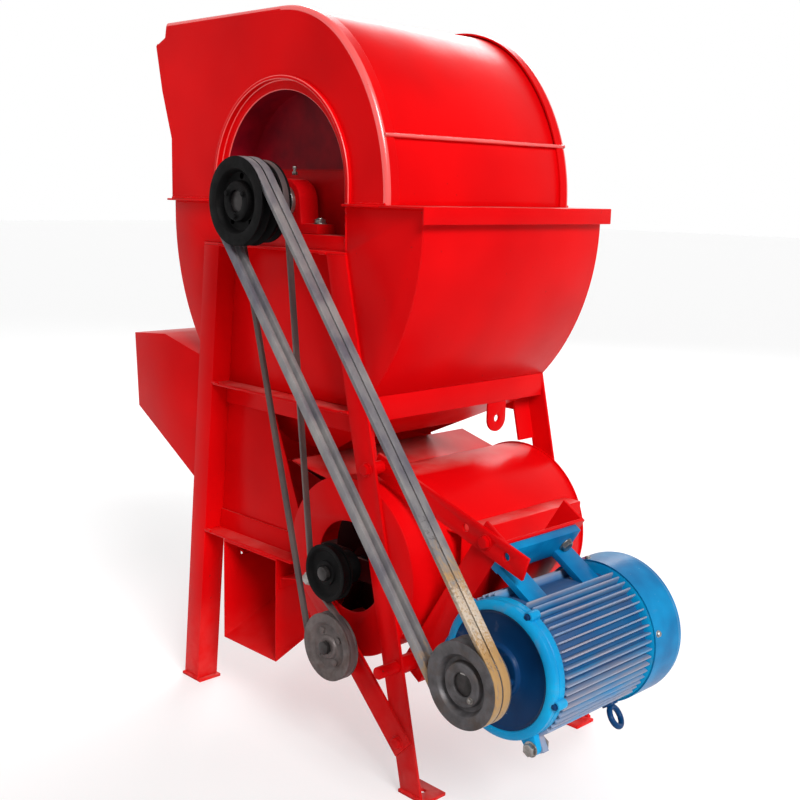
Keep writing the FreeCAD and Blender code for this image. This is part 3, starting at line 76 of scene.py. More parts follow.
FRAY_REACH = (0.42, 0.06)
FRAY_SIDE = (0.30, 0.50)
LINT_CENTRE = Vector((0.545, -0.326, 0.425))
LINT_REACH = (0.11, 0.02)
SCREW = 3 * MM
THREAD_PITCH = 1.75 * MM
Test = Callable[[Vector, Vector], bool]


class Body(Enum):
    """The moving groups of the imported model."""

    MACHINE = "machine"
    DRUM = "drum"
    MOTOR_SHAFT = "motor_shaft"
    IDLER = "idler"
    FAN = "fan"


class Slot(Enum):
    """The material slots."""

    RED = "red_paint"
    BLUE = "blue_paint"
    BELT = "belt_rubber"
    GREY = "grey_iron"
    BLACK = "black_iron"
    STEEL = "bright_steel"
    CASTING = "painted_iron"
    CORE = "steel_core"


# ---------------------------------------------------------------- materials


def linear(code: str) -> tuple[float, float, float, float]:
    """Turns an sRGB hex colour to linear light.

    Args:
        code: The colour as "#RRGGBB".

    Returns:
        Linear red, green, blue and full alpha.
    """
    parts = [int(code[start:start + 2], 16) / 255 for start in (1, 3, 5)]
    light = [part / 12.92 if part <= 0.04045 else ((part + 0.055) / 1.055) ** 2.4 for part in parts]
    return light[0], light[1], light[2], 1.0


def add_node(tree: bpy.types.NodeTree, kind: str, settings: dict,
             links: dict | None = None) -> bpy.types.Node:
    """Adds one shader node.

    Args:
        tree: The material's or world's node tree.
        kind: The node's type name without its Shader prefix.
        settings: Values by attribute name, input name or input number.
        links: Outputs to join, by input name or number.

    Returns:
        The new node.
    """
    node = tree.nodes.new("ShaderNode" + kind)
    for name, value in settings.items():
        if isinstance(name, int) or name in node.inputs:
            node.inputs[name].default_value = value
        else:
            setattr(node, name, value)
    for name, output in (links or {}).items():
        tree.links.new(output, node.inputs[name])
    return node


class MaterialTree:
    """A material under construction, with the coordinates that its patterns read."""

    def __init__(self, name: str) -> None:
        """Starts an empty material.

        Args:
            name: The finish's everyday name.
        """
        self.material = bpy.data.materials.new(name)
        self.material.use_nodes = True
        self.tree = self.material.node_tree
        self.tree.nodes.clear()
        self.places = self.add("TexCoord", {}).outputs["Object"]
        self.facing = self.add("TexCoord", {}).outputs["Normal"]

    def add(self, kind: str, settings: dict, links: dict | None = None) -> bpy.types.Node:
        """Adds a node to this material."""
        return add_node(self.tree, kind, settings, links)

    def noise(self, size_mm: float, detail: float, stretch: Vector | None = None) -> Socket:
        """A cloudy pattern.

        Args:
            size_mm: The width of one cloud.
            detail: How many finer layers it has.
            stretch: Shares by which the pattern is packed closer along each axis.

        Returns:
            The pattern's strength from 0 to 1.
        """
        source = self.places
        if stretch is not None:
            source = self.add("Mapping", {"Scale": stretch}, {"Vector": source}).outputs[0]
        settings = {"Scale": 1 / (size_mm * MM), "Detail": detail, "Roughness": 0.55}
        return self.add("TexNoise", settings, {"Vector": source}).outputs[0]

    def ramp(self, value: Socket, low: float, high: float,
             start: float = 0.0, end: float = 1.0) -> Socket:
        """Maps a value from one range to another and holds it there."""
        settings = {"From Min": low, "From Max": high, "To Min": start, "To Max": end}
        return self.add("MapRange", settings, {"Value": value}).outputs[0]

    def cloud(self, size_mm: float, detail: float, low: float, high: float,
              start: float = 0.0, end: float = 1.0) -> Socket:
        """A cloudy pattern mapped from one range to another."""
        return self.ramp(self.noise(size_mm, detail), low, high, start, end)

    def waves(self, source: Socket, length_mm: float, settings: dict) -> Socket:
        """Even bands or rings, whose scale is about six times the spacing of their lines."""
        return self.add("TexWave", {"Scale": 1 / (length_mm * MM), **settings},
                        {"Vector": source}).outputs["Fac"]

    def distance(self, place: Vector) -> Socket:
        """How far each point lies from a place."""
        return self.add("VectorMath", {"operation": "DISTANCE", 1: place},
                        {0: self.places}).outputs["Value"]

    def times(self, first: Socket, second: Socket | float) -> Socket:
        """Multiplies a value by another one or by a number."""
        if isinstance(second, (int, float)):
            return self.add("Math", {"operation": "MULTIPLY", 1: second}, {0: first}).outputs[0]
        return self.add("Math", {"operation": "MULTIPLY"}, {0: first, 1: second}).outputs[0]

    def larger(self, first: Socket, second: Socket) -> Socket:
        """The larger of two values."""
        return self.add("Math", {"operation": "MAXIMUM"}, {0: first, 1: second}).outputs[0]

    def blend(self, share: Socket, first: Socket | str,
              second: Socket | str) -> Socket:
        """Mixes two colours.

        Args:
            share: How much of the second colour shows.
            first: A colour code or a colour from another node.
            second: A colour code or a colour from another node.

        Returns:
            The mixed colour.
        """
        settings: dict = {"data_type": "RGBA"}
        links: dict = {0: share}
        for place, colour in ((6, first), (7, second)):
            if isinstance(colour, str):
                settings[place] = linear(colour)
            else:
                links[place] = colour
        return self.add("Mix", settings, links).outputs[2]

    def axis_value(self, source: Socket, axis: str) -> Socket:
        """One coordinate of a place or a normal."""
        return self.add("SeparateXYZ", {}, {0: source}).outputs[axis]

    def bump(self, height: Socket, depth_mm: float,
             under: Socket | None = None) -> Socket:
        """Raises and lowers the surface by a pattern."""
        links = {"Height": height}
        if under is not None:
            links["Normal"] = under
        return self.add("Bump", {"Strength": 1.0, "Distance": depth_mm * MM}, links).outputs[0]

    def finish(self, settings: dict, links: dict) -> bpy.types.Material:
        """Joins the pattern to the surface shader.

        Args:
            settings: Uniform values, set on the shader's own sockets.
            links: Patterns by socket name.

        Returns:
            The finished material.
        """
        shader = self.add("BsdfPrincipled", settings, links)
        self.add("OutputMaterial", {}, {"Surface": shader.outputs[0]})
        return self.material


@dataclass(frozen=True)
class Finish:
    """A finish on one of the material slots, made once and shared by its pieces."""

    name: str
    slot: Slot

    def build(self) -> bpy.types.Material:
        """Makes the material."""
        raise NotImplementedError

    def material(self) -> bpy.types.Material:
        """The material, made at its first use."""
        return bpy.data.materials.get(self.name) or self.build()


@dataclass(frozen=True)
class SprayedEnamel(Finish):
    """Gloss alkyd enamel sprayed on pressed sheet: an even film with slight sags, dust and chips, and a
    painted sky reflection mixed into the dust on level tops.
    """

    base: str = "#E4070C"
    deep: str = "#C40308"
    dust: str = "#D9A79E"
    primer: str = "#7A2A22"
    gloss: float = 0.10
    ior: float = 1.3
    roughness: float = 0.28
    dent_mm: float = 0.5

    def build(self) -> bpy.types.Material:
        """Makes the enamel, whose dents are those of hand-rolled sheet a hand's breadth apart."""
        make = MaterialTree(self.name)
        cloud = make.noise(260, 2)
        fine = make.noise(14, 4)
        tone = make.blend(make.ramp(cloud, 0.35, 0.7, 0.0, 0.75), self.base, self.deep)
        height = make.axis_value(make.places, "Z")
        level = make.axis_value(make.facing, "Z")
        # Dust on level tops, made paler as a painted reflection of the sky there.
        level_dust_and_sheen = make.times(make.ramp(level, 0.96, 1.0), make.cloud(60, 5, 0.3, 0.75, 0.0, 0.45))
        splashed = make.times(make.ramp(height, 0.2, 0.0), make.cloud(35, 5, 0.3, 0.8, 0.0, 0.15))
        dusty = make.larger(level_dust_and_sheen, splashed)
        coated = make.blend(dusty, tone, self.dust)
        chips = make.times(make.cloud(7, 4, 0.70, 0.73), make.cloud(170, 2, 0.52, 0.62))
        colour = make.blend(chips, coated, self.primer)
        shine = make.ramp(make.larger(dusty, make.ramp(fine, 0.3, 0.9, 0.0, 0.2)), 0.0, 1.0,
                          self.roughness, 0.62)
        dents = make.bump(make.noise(150, 1), self.dent_mm * 6)
        peel = make.bump(make.noise(9, 2), 0.05, dents)
        return make.finish({"IOR": self.ior, "Specular IOR Level": self.gloss},
                           {"Base Color": colour, "Roughness": shine, "Normal": peel})


@dataclass(frozen=True)
class ShadedEnamel(Finish):
    """Red enamel in the bearing niches: full red low down, and painted shade in dark reds high up, where the
    hood shadows the niche.
    """

    base: str = "#C8080F"
    deep: str = "#A2060B"
    upper_shade: str = "#8A0618"
    deepest_shade: str = "#640414"
    edge: float = 1.088

    def build(self) -> bpy.types.Material:
        """Makes the enamel, whose painted shade starts at a level line."""
        make = MaterialTree(self.name)
        height = make.axis_value(make.places, "Z")
        low = make.blend(make.cloud(90, 3, 0.35, 0.7), self.base, self.deep)
        # Painted shade: the upper reds stand in for the shadow high in the niche.
        high = make.blend(make.cloud(60, 4, 0.35, 0.7), self.upper_shade, self.deepest_shade)
        colour = make.blend(make.ramp(height, self.edge - 0.002, self.edge + 0.002), low, high)
        return make.finish({"IOR": 1.5, "Specular IOR Level": 0.08, "Roughness": 0.45},
                           {"Base Color": colour, "Normal": make.bump(make.noise(120, 1), 2.0)})


@dataclass(frozen=True)
class MotorEnamel(Finish):
    """Semi-gloss blue enamel on castings, with greyish dirt in the fins, worn spots, and painted shade at the
    fin roots.
    """

    base: str = "#0F86BE"
    deep: str = "#0B5E96"
    grime: str = "#7A7484"
    tip: str = "#A8A2AC"
    # Colour of the painted shade at the fin roots.
    root: str = "#0C4678"
    worn: str = "#9FB4BE"
    grime_share: float = 0.2
    tip_share: float = 0.0
    roughness: float = 0.33

    def build(self) -> bpy.types.Material:
        """Makes the enamel, whose grime lies in streaks along the fins."""
        make = MaterialTree(self.name)
        tone = make.blend(make.cloud(120, 3, 0.35, 0.65), self.base, self.deep)
        streak = make.noise(40, 5, Vector((1.0, 0.3, 1.0)))
        grime = make.ramp(streak, 0.62 - self.grime_share, 0.95 - self.grime_share, 0.0, 0.85)
        dirty = make.blend(grime, tone, self.grime)
        if self.tip_share > 0:
            centred = make.add("Mapping", {"Location": -MOTOR_AXIS, "Scale": Vector((1, 0, 1))},
                               {"Vector": make.places}).outputs[0]
            reach = make.add("VectorMath", {"operation": "LENGTH"}, {0: centred}).outputs["Value"]
            tip = make.times(make.ramp(reach, *FIN_TIP), make.ramp(streak, 0.3, 0.6, 0.4, 1.0))
            dirty = make.blend(make.times(tip, self.tip_share), dirty, self.tip)
            # Painted shade: darker towards the fin roots, where the fins shade each other.
            deep = make.ramp(reach, *FIN_ROOT_SHADE, 0.0, 0.75)
            dirty = make.blend(deep, dirty, self.root)
        worn = make.cloud(6, 4, 0.72, 0.76)
        colour = make.blend(make.times(worn, 0.4), dirty, self.worn)
        shine = make.ramp(grime, 0.0, 1.0, self.roughness, 0.65)
        cast = make.bump(make.noise(3.5, 3), 0.12, make.bump(make.noise(60, 1), 0.6))
        return make.finish({"IOR": 1.35, "Specular IOR Level": 0.2},
                           {"Base Color": colour, "Roughness": shine, "Normal": cast})


@dataclass(frozen=True)
class WrappedBelt(Finish):
    """Rubberised canvas V-belt: dull dark grey, dusty, with the tan canvas bare where it frayed."""

    rubber: str = "#54515A"
    dust: str = "#85817F"
    canvas: str = "#A9824F"
    lint: str = "#C9BCAC"
    frayed: bool = True

    def build(self) -> bpy.types.Material:
        """Makes the belt cloth, whose weave of 1.2 mm is drawn at 4 mm to show."""
        make = MaterialTree(self.name)
        tone = make.blend(make.ramp(make.noise(45, 4, Vector((1.0, 1.0, 0.4))), 0.35, 0.7),
                          self.rubber, self.dust)
        if self.frayed:
            near = make.ramp(make.distance(FRAY_CENTRE), *FRAY_REACH)
            right = make.ramp(make.axis_value(make.places, "X"), *FRAY_SIDE)
            worn = make.times(near, right)
            streak = make.noise(9, 5, Vector((1.0, 1.6, 0.5)))
            tone = make.blend(make.ramp(make.times(worn, streak), 0.22, 0.42), tone, self.canvas)
            lint = make.times(make.ramp(make.distance(LINT_CENTRE), *LINT_REACH), make.noise(4, 4))
            tone = make.blend(make.ramp(lint, 0.28, 0.5, 0.0, 0.8), tone, self.lint)
        weave = make.waves(make.places, 26, {"bands_direction": "DIAGONAL", "Distortion": 1.5})
        cloth = make.bump(weave, 0.25, make.bump(make.noise(5, 4), 0.35))
        return make.finish({"Roughness": 0.62, "Specular IOR Level": 0.45, "Sheen Weight": 0.15},
                           {"Base Color": tone, "Normal": cloth})


@dataclass(frozen=True)
class CastIron(Finish):
    """Sand-cast grey iron turned on its faces: faint rings, oily dark spots and a grainy skin."""

    base: str = "#5C595B"
    dark: str = "#3E3B3C"
    rust: str = "#4E4038"
    rust_share: float = 0.25
    metallic: float = 0.35
    roughness: float = 0.48
    grain_mm: float = 0.15
    gloss: float = 0.35
    axis: Vector = field(default_factory=lambda: MOTOR_AXIS.copy(), hash=False)

    def build(self) -> bpy.types.Material:
        """Makes the iron, with tool rings 1.5 mm apart round the piece's own axis."""
        make = MaterialTree(self.name)
        tone = make.blend(make.cloud(22, 5, 0.35, 0.7), self.base, self.dark)
        rusty = make.cloud(30, 6, 0.75 - self.rust_share, 0.9 - self.rust_share, 0.0, 0.6)
        colour = make.blend(rusty, tone, self.rust)
        centred = make.add("Mapping", {"Location": -self.axis}, {"Vector": make.places}).outputs[0]
        rings = make.waves(centred, 9, {"wave_type": "RINGS", "rings_direction": "Y",
                                        "Distortion": 0.4})
        skin = make.bump(make.noise(2.2, 3), self.grain_mm, make.bump(rings, 0.05))
        shine = make.cloud(18, 4, 0.2, 0.8, self.roughness - 0.1, self.roughness + 0.18)
        return make.finish({"Metallic": self.metallic, "Specular IOR Level": self.gloss},
                           {"Base Color": colour, "Roughness": shine, "Normal": skin})


@dataclass(frozen=True)
class TurnedSteel(Finish):
    """Cold-drawn bright steel: fine lengthwise tool marks and a trace of oil."""

    base: str = "#A9A7A4"
    dull: str = "#6F6862"
    metallic: float = 0.9

    def build(self) -> bpy.types.Material:
        """Makes the steel, whose 0.3 mm tool marks are drawn at 2 mm to show."""
        make = MaterialTree(self.name)
        colour = make.blend(make.cloud(16, 5, 0.4, 0.7), self.base, self.dull)
        marks = make.noise(2, 2, Vector((1.0, 6.0, 1.0)))
        shine = make.ramp(marks, 0.2, 0.8, 0.25, 0.45)
        return make.finish({"Metallic": self.metallic, "Specular IOR Level": 0.3},
                           {"Base Color": colour, "Roughness": shine,
                            "Normal": make.bump(marks, 0.04)})


@dataclass(frozen=True)
class LaminatedCore(Finish):
    """Stacked electrical sheet: dark steel with the lines of its laminations."""

    def build(self) -> bpy.types.Material:
        """Makes the core, whose 0.5 mm sheets are drawn at 2 mm to show."""
        make = MaterialTree(self.name)
        lines = make.waves(make.places, 12, {"bands_direction": "Y"})
        colour = make.blend(lines, "#4A4745", "#2A2928")
        return make.finish({"Metallic": 0.6, "Roughness": 0.5},
                           {"Base Color": colour, "Normal": make.bump(lines, 0.2)})


RED = SprayedEnamel("gloss red enamel", Slot.RED)
# Painted highlight: the pale pink base stands in for the sky's highlight on rounded rims, lips and the hem;
# the high gloss is the enamel's own.
RED_PAINTED_HIGHLIGHT = SprayedEnamel("glossy enamel with a painted highlight on pressed edges", Slot.RED, base="#F0504C",
                         deep="#E63C3A", gloss=0.9, ior=1.5, roughness=0.22, dent_mm=0.1)
RED_CASTING = SprayedEnamel("red enamel on castings", Slot.CASTING, base="#C8060C", deep="#98060A",
                            roughness=0.4, dent_mm=0.2)
# Painted shade: dark red on the niches' upper walls stands in for the hood's shadow.
RED_NICHE_SHADE = ShadedEnamel("red enamel with painted shade high in the niches", Slot.RED)
# Painted shade: near-black red stands in for the deep shade inside the fan.
RED_FAN_SHADE = SprayedEnamel("near-black red enamel with painted shade inside the fan", Slot.CASTING, base="#3A0608",
                          deep="#200405", gloss=0.08, roughness=0.6, dent_mm=0.2)
BLUE = MotorEnamel("blue motor enamel", Slot.BLUE, base="#0EA2D8", deep="#0A84BE",
                   grime_share=0.05)
BLUE_COVER = MotorEnamel("blue enamel on pressed steel", Slot.BLUE, base="#0688C0", deep="#055A90",
                         grime_share=-0.05, roughness=0.3)
# Painted shade: the dark navy stands in for the shade on the front shield's face, its screws and the eyebolt.
BLUE_SHADE = MotorEnamel("dark blue enamel with painted shade", Slot.BLUE, base="#0A3A68", deep="#082B52",
                        grime_share=0.0)
BLUE_FINS = MotorEnamel("dusty blue fins", Slot.BLUE, base="#2A94C8", deep="#1A74AE",
                        grime="#7C7C90", grime_share=0.33, tip_share=0.6, roughness=0.5)
BELT = WrappedBelt("wrapped belt canvas", Slot.BELT)
FAN_BELT = WrappedBelt("dark wrapped belt", Slot.BELT, rubber="#3A3234", dust="#5E4A46",
                       frayed=False)
GREY_IRON = CastIron("turned grey iron", Slot.GREY)
GREY_IDLER = CastIron("dusty grey iron", Slot.GREY, base="#6C6260", dark="#4C4443",
                      rust="#4A3630", axis=IDLER_AXIS.copy())
BLACK_IRON = CastIron("blackened cast iron", Slot.BLACK, base="#090809", dark="#040404",
                      rust="#0E0A0A", metallic=0.0, roughness=0.55, gloss=0.08, axis=DRUM_AXIS.copy())
STEEL = TurnedSteel("bright drawn steel", Slot.STEEL)
DULL_STEEL = TurnedSteel("oiled dull steel", Slot.STEEL, base="#3A3636", dull="#1E1B1A",
                         metallic=0.4)
CORE = LaminatedCore("laminated core", Slot.CORE)


# ---------------------------------------------------------------- modelling


def deselect() -> None:
    """Leaves edit mode and deselects every object."""
    if bpy.context.mode != "OBJECT":
        bpy.ops.object.mode_set(mode="OBJECT")
    bpy.ops.object.select_all(action="DESELECT")


def activate(piece: Piece) -> None:
    """Selects one object alone and makes it the active one."""
    deselect()
    piece.select_set(True)
    bpy.context.view_layer.objects.active = piece


def select_faces(piece: Piece, test: Test) -> None:
    """Selects, in edit mode, the faces whose centre and normal pass a test."""
    mesh = bmesh.from_edit_mesh(piece.data)
    bpy.ops.mesh.select_mode(type="FACE")
    for face in mesh.faces:
        face.select_set(test(face.calc_center_median(), face.normal))
    bmesh.update_edit_mesh(piece.data)


def select_edges(piece: Piece, test: Test) -> None:
    """Selects, in edit mode, the edges whose middle and direction pass a test."""
    mesh = bmesh.from_edit_mesh(piece.data)
    bpy.ops.mesh.select_mode(type="EDGE")
    for edge in mesh.edges:
        first, last = (corner.co for corner in edge.verts)
        edge.select_set(test((first + last) / 2, (last - first).normalized()))
    bmesh.update_edit_mesh(piece.data)


def chain(name: str, corners: Sequence[Vector]) -> Piece:
    """Draws a closed line of edges by extruding one corner after another.

    Args:
        name: The object's name.
        corners: Places in metres.

    Returns:
        The object, in edit mode with all of it selected.
    """
    deselect()
    bpy.ops.mesh.primitive_plane_add(size=SEED_SIZE, location=(0, 0, 0))
    piece = bpy.context.object
    piece.name = piece.data.name = name
    bpy.ops.object.mode_set(mode="EDIT")
    bpy.ops.mesh.select_mode(type="VERT")
    bpy.ops.mesh.select_all(action="SELECT")
    bpy.ops.mesh.merge(type="CENTER")
    bpy.ops.transform.translate(value=corners[0])
    for start, end in zip(corners, corners[1:]):
        bpy.ops.mesh.extrude_region_move(TRANSFORM_OT_translate={"value": end - start})
    mesh = bmesh.from_edit_mesh(piece.data)
    mesh.verts.ensure_lookup_table()
    for index, corner in enumerate(mesh.verts):
        corner.select_set(index in (0, len(mesh.verts) - 1))
    bmesh.update_edit_mesh(piece.data)
    bpy.ops.mesh.edge_face_add()
    bpy.ops.mesh.select_all(action="SELECT")
    return piece


def lathe(name: str, outline: Sequence[tuple[float, float]], axis: Vector, steps: int = 72,
          edge_mm: float = 0.8) -> Piece:
    """Spins a closed outline once round an axis along Y.

    Args:
        name: The object's name.
        outline: Corners as (place along Y, radius), both in millimetres from the axis point.
        axis: A point on the axis.
        steps: The number of steps round the axis.
        edge_mm: The width of the rounding on sharp edges.

    Returns:
        The turned piece.
    """
    piece = chain(name, [Vector((axis.x, axis.y + along * MM, axis.z + radius * MM))
                         for along, radius in outline])
    bpy.ops.mesh.spin(steps=steps, angle=math.tau, center=axis, axis=(0, 1, 0))
    bpy.ops.mesh.select_all(action="SELECT")
    bpy.ops.mesh.remove_doubles(threshold=MERGE)
    bpy.ops.mesh.normals_make_consistent(inside=False)
    bpy.ops.object.mode_set(mode="OBJECT")
    return round_edges(piece, edge_mm)


def prism(name: str, outline: Sequence[tuple[float, float]], start: float, depth: float,
          edge_mm: float = 0.8) -> Piece:
    """Extrudes an outline in X and Z along Y.

    Args:
        name: The object's name.
        outline: Corners as (X, Z) in metres.
        start: Where it starts along Y, in metres.
        depth: How far it runs along +Y, in metres.
        edge_mm: The width of the rounding on sharp edges.

    Returns:
        The prism.
    """
    piece = chain(name, [Vector((x, start, z)) for x, z in outline])
    bpy.ops.mesh.edge_face_add()
    bpy.ops.mesh.extrude_region_move(TRANSFORM_OT_translate={"value": (0, depth, 0)})
    bpy.ops.mesh.select_all(action="SELECT")
    bpy.ops.mesh.normals_make_consistent(inside=False)
    bpy.ops.object.mode_set(mode="OBJECT")
    return round_edges(piece, edge_mm)


def rod(name: str, start: Vector, end: Vector, radius: float, corners: int = 24,
        edge_mm: float = 0.6) -> Piece:
    """A bar between two places, with its end edges rounded.

    Args:
        name: The object's name.
        start: One end, in metres.
        end: The other end.
        radius: The bar's radius, or half its width across corners.
        corners: The number of sides.
        edge_mm: The width of the rounding on sharp edges.

    Returns:
        The bar.
    """
    deselect()
    run = end - start
    turn = run.to_track_quat("Z", "Y").to_euler()
    bpy.ops.mesh.primitive_cylinder_add(vertices=corners, radius=radius, depth=run.length,
                                        location=(start + end) / 2, rotation=turn)
    piece = bpy.context.object
    piece.name = piece.data.name = name
    bpy.ops.object.transform_apply(location=True, rotation=True, scale=True)
    return round_edges(piece, edge_mm)


def round_edges(piece: Piece, edge_mm: float, steps: int = 2, angle: float = 35.0) -> Piece:
    """Rounds the sharp edges of a piece and shades it smooth between them.

    Args:
        piece: The piece.
        edge_mm: The width of the rounding; 0 leaves the edges sharp.
        steps: The number of facets across the rounding.
        angle: Edges sharper than this many degrees are rounded.

    Returns:
        The same piece.
    """
    activate(piece)
    if edge_mm > 0:
        bevel = piece.modifiers.new("Rounded edges", "BEVEL")
        bevel.width = edge_mm * MM
        bevel.segments = steps
        bevel.limit_method = "ANGLE"
        bevel.angle_limit = math.radians(angle)
        bpy.ops.object.modifier_apply(modifier=bevel.name)
    bpy.ops.object.shade_smooth_by_angle(angle=math.radians(angle + 5))
    return piece


def gather(name: str, pieces: Sequence[Piece]) -> Piece:
    """Joins several objects to one, which keeps their meshes as separate shells."""
    deselect()
    for piece in pieces:
        piece.select_set(True)
    bpy.context.view_layer.objects.active = pieces[0]
    if len(pieces) > 1:
        bpy.ops.object.join()
    joined = bpy.context.view_layer.objects.active
    joined.name = joined.data.name = name
    return joined


def copy_at(piece: Piece, matrix: Matrix) -> Piece:
    """A copy with its own mesh, moved inside the mesh so that the object stays at the origin."""
    double = bpy.data.objects.new(piece.name, piece.data.copy())
    bpy.context.scene.collection.objects.link(double)
    double.data.transform(matrix)
    return double


def discard(piece: Piece) -> None:
    """Deletes a pattern piece that was only there to be copied."""
    activate(piece)
    bpy.ops.object.delete()


def drill(piece: Piece, tools: Sequence[Piece]) -> None:
    """Cuts the tools' shapes out of a piece and deletes the tools."""
    cutter = gather("cutter", tools)
    activate(piece)
    hole = piece.modifiers.new("Holes", "BOOLEAN")
    hole.object = cutter
    hole.operation = "DIFFERENCE"
    bpy.ops.object.modifier_apply(modifier=hole.name)
    discard(cutter)


def aimed(place: Vector, direction: Vector) -> Matrix:
    """Where a piece made upright at the origin stands when it points in a direction."""
    turn = UP.rotation_difference(direction.normalized())
    return Matrix.Translation(place) @ turn.to_matrix().to_4x4()


def on_motor(u: float, v: float, y: float) -> Vector:
    """A place in the motor's tilted frame.

    Args:
        u: Metres from the shaft, away from the feet.
        v: Metres from the shaft, across the feet.
        y: The place along Y.

    Returns:
        The place in the machine's frame.
    """
    lean, fall = math.cos(MOTOR_TILT), math.sin(MOTOR_TILT)
    return Vector((MOTOR_AXIS.x + u * lean + v * fall, y, MOTOR_AXIS.z - u * fall + v * lean))


def hand_over(piece: Piece, body: Body, finish: Finish, *stands_for: str) -> None:
    """Gives a finished piece its material and body.

    Args:
        piece: The piece, at the origin.
        body: What it moves with.
        finish: Its finish.
        *stands_for: The CAD nodes it replaces.
    """
    piece.data.materials.clear()
    piece.data.materials.append(finish.material())
    for face in piece.data.polygons:
        face.material_index = 0
    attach(piece, body.value)
    if stands_for:
        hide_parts(*stands_for)
    LOG.info("%s on %s, %d faces", piece.name, body.value, len(piece.data.polygons))


def glaze(piece: Piece, finish: Finish, test: Test) -> None:
    """Gives a second finish to the faces whose centre and normal pass a test."""
    piece.data.materials.append(finish.material())
    for face in piece.data.polygons:
        if test(face.center, face.normal):
            face.material_index = 1


def softened(node: str, edge_mm: float = 1.0, steps: int = 2, angle: float = 35.0) -> Piece:
    """A merged copy of a CAD node with its sharp edges rounded.

    Args:
        node: The CAD node.
        edge_mm: The width of the rounding.
        steps: The number of facets across the rounding.
        angle: Edges sharper than this many degrees are rounded.

    Returns:
        The copy.
    """
    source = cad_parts[node]
    piece = bpy.data.objects.new(node + ".dressed", source.data.copy())
    bpy.context.scene.collection.objects.link(piece)
    activate(piece)
    bpy.ops.mesh.customdata_custom_splitnormals_clear()
    bpy.ops.object.mode_set(mode="EDIT")
    bpy.ops.mesh.select_all(action="SELECT")
    bpy.ops.mesh.remove_doubles(threshold=MERGE)
    bpy.ops.mesh.dissolve_limited(angle_limit=math.radians(0.5))
    bpy.ops.object.mode_set(mode="OBJECT")
    return round_edges(piece, edge_mm, steps, angle)


@dataclass
class SubAssembly:
    """A group of pieces that are built and dressed together."""

    seed: int = 7

    def build(self) -> None:
        """Builds and dresses every piece."""
        raise NotImplementedError

    def dress(self, nodes: Sequence[str], body: Body, finish: Finish, edge_mm: float) -> None:
        """Replaces CAD nodes by soft-edged copies in one finish."""
        for node in nodes:
            hand_over(softened(node, edge_mm), body, finish, node)


# ---------------------------------------------------------------- fasteners and welds


@dataclass
class Fasteners:
    """Hexagon bolts, nuts and washers, modelled once and copied."""

    head_radius: float = 11 * MM
    washer_radius: float = 13 * MM
    washer_wall: float = 2 * MM
    shank_radius: float = 6 * MM

    def bolt(self, height: float, tip: float) -> Piece:
        """A head on its washer, pointing along +Z from the origin.

        Args:
            height: The head's height; a nut's is lower.
            tip: How far the thread's end stands out of it.

        Returns:
            The joined set.
        """
        top = self.washer_wall + height
        washer = rod("washer", UP * 0, UP * self.washer_wall, self.washer_radius, 28, 0.5)
        head = rod("head", UP * self.washer_wall, UP * top, self.head_radius, 6, 0)
        activate(head)
        bpy.ops.object.mode_set(mode="EDIT")
        select_faces(head, lambda centre, normal: normal.z > 0.9)
        bpy.ops.mesh.inset(thickness=1.6 * MM)
        bpy.ops.transform.translate(value=(0, 0, 1.0 * MM))
        bpy.ops.object.mode_set(mode="OBJECT")
        round_edges(head, 0.5, 2, 20)
        parts = [washer, head]
        if tip > 0:
            parts.append(rod("tip", UP * top, UP * (top + tip), self.shank_radius, 20, 1.2))
            for turn in range(int(tip / THREAD_PITCH)):
                level = top + (turn + 0.6) * THREAD_PITCH
                parts.append(rod("thread", UP * level, UP * (level + 0.8 * MM),
                                 self.shank_radius * 1.08, 20, 0.3))
        return gather("bolt", parts)

    def set_of(self, name: str, places: Sequence[tuple[Vector, Vector, float, float]]) -> Piece:
        """Copies bolts to their places.

        Args:
            name: The joined piece's name.
            places: Each bolt's seat, direction, head height and thread length.

        Returns:
            The joined piece.
        """
        patterns: dict[tuple[float, float], Piece] = {}
        copies = []
        for seat, direction, height, tip in places:
            key = (height, tip)
            if key not in patterns:
                patterns[key] = self.bolt(height, tip)
            copies.append(copy_at(patterns[key], aimed(seat, direction)))
        for pattern in patterns.values():
            discard(pattern)
        return gather(name, copies)


@dataclass
class WeldRun:
    """A hand-laid fillet weld along a straight joint."""

    start: Vector
    end: Vector
    radius: float = 2.6 * MM

    def build(self, number: int) -> Piece:
        """Makes the bead, with ripples 5 mm apart.

        Args:
            number: The bead's number, which varies its ripples.

        Returns:
            The bead.
        """
        run = self.end - self.start
        bead = rod(f"bead_{number}", self.start, self.end, self.radius, 8, 0)
        bpy.ops.object.mode_set(mode="EDIT")
        along = run.normalized()
        select_edges(bead, lambda middle, direction: abs(direction.dot(along)) > 0.9)
        bpy.ops.mesh.subdivide(number_cuts=max(int(run.length / (5 * MM)), 2))
        bpy.ops.mesh.select_all(action="SELECT")
        bpy.ops.transform.vertex_random(offset=0.9 * MM, uniform=0.2, normal=0.6, seed=number)
        bpy.ops.object.mode_set(mode="OBJECT")
        bpy.ops.object.shade_smooth_by_angle(angle=math.radians(70))
        return bead


def weld_piece(name: str, runs: Sequence[WeldRun]) -> Piece:
    """Joins several weld beads to one piece."""
    return gather(name, [run.build(number) for number, run in enumerate(runs, start=1)])


# ---------------------------------------------------------------- sub-assemblies


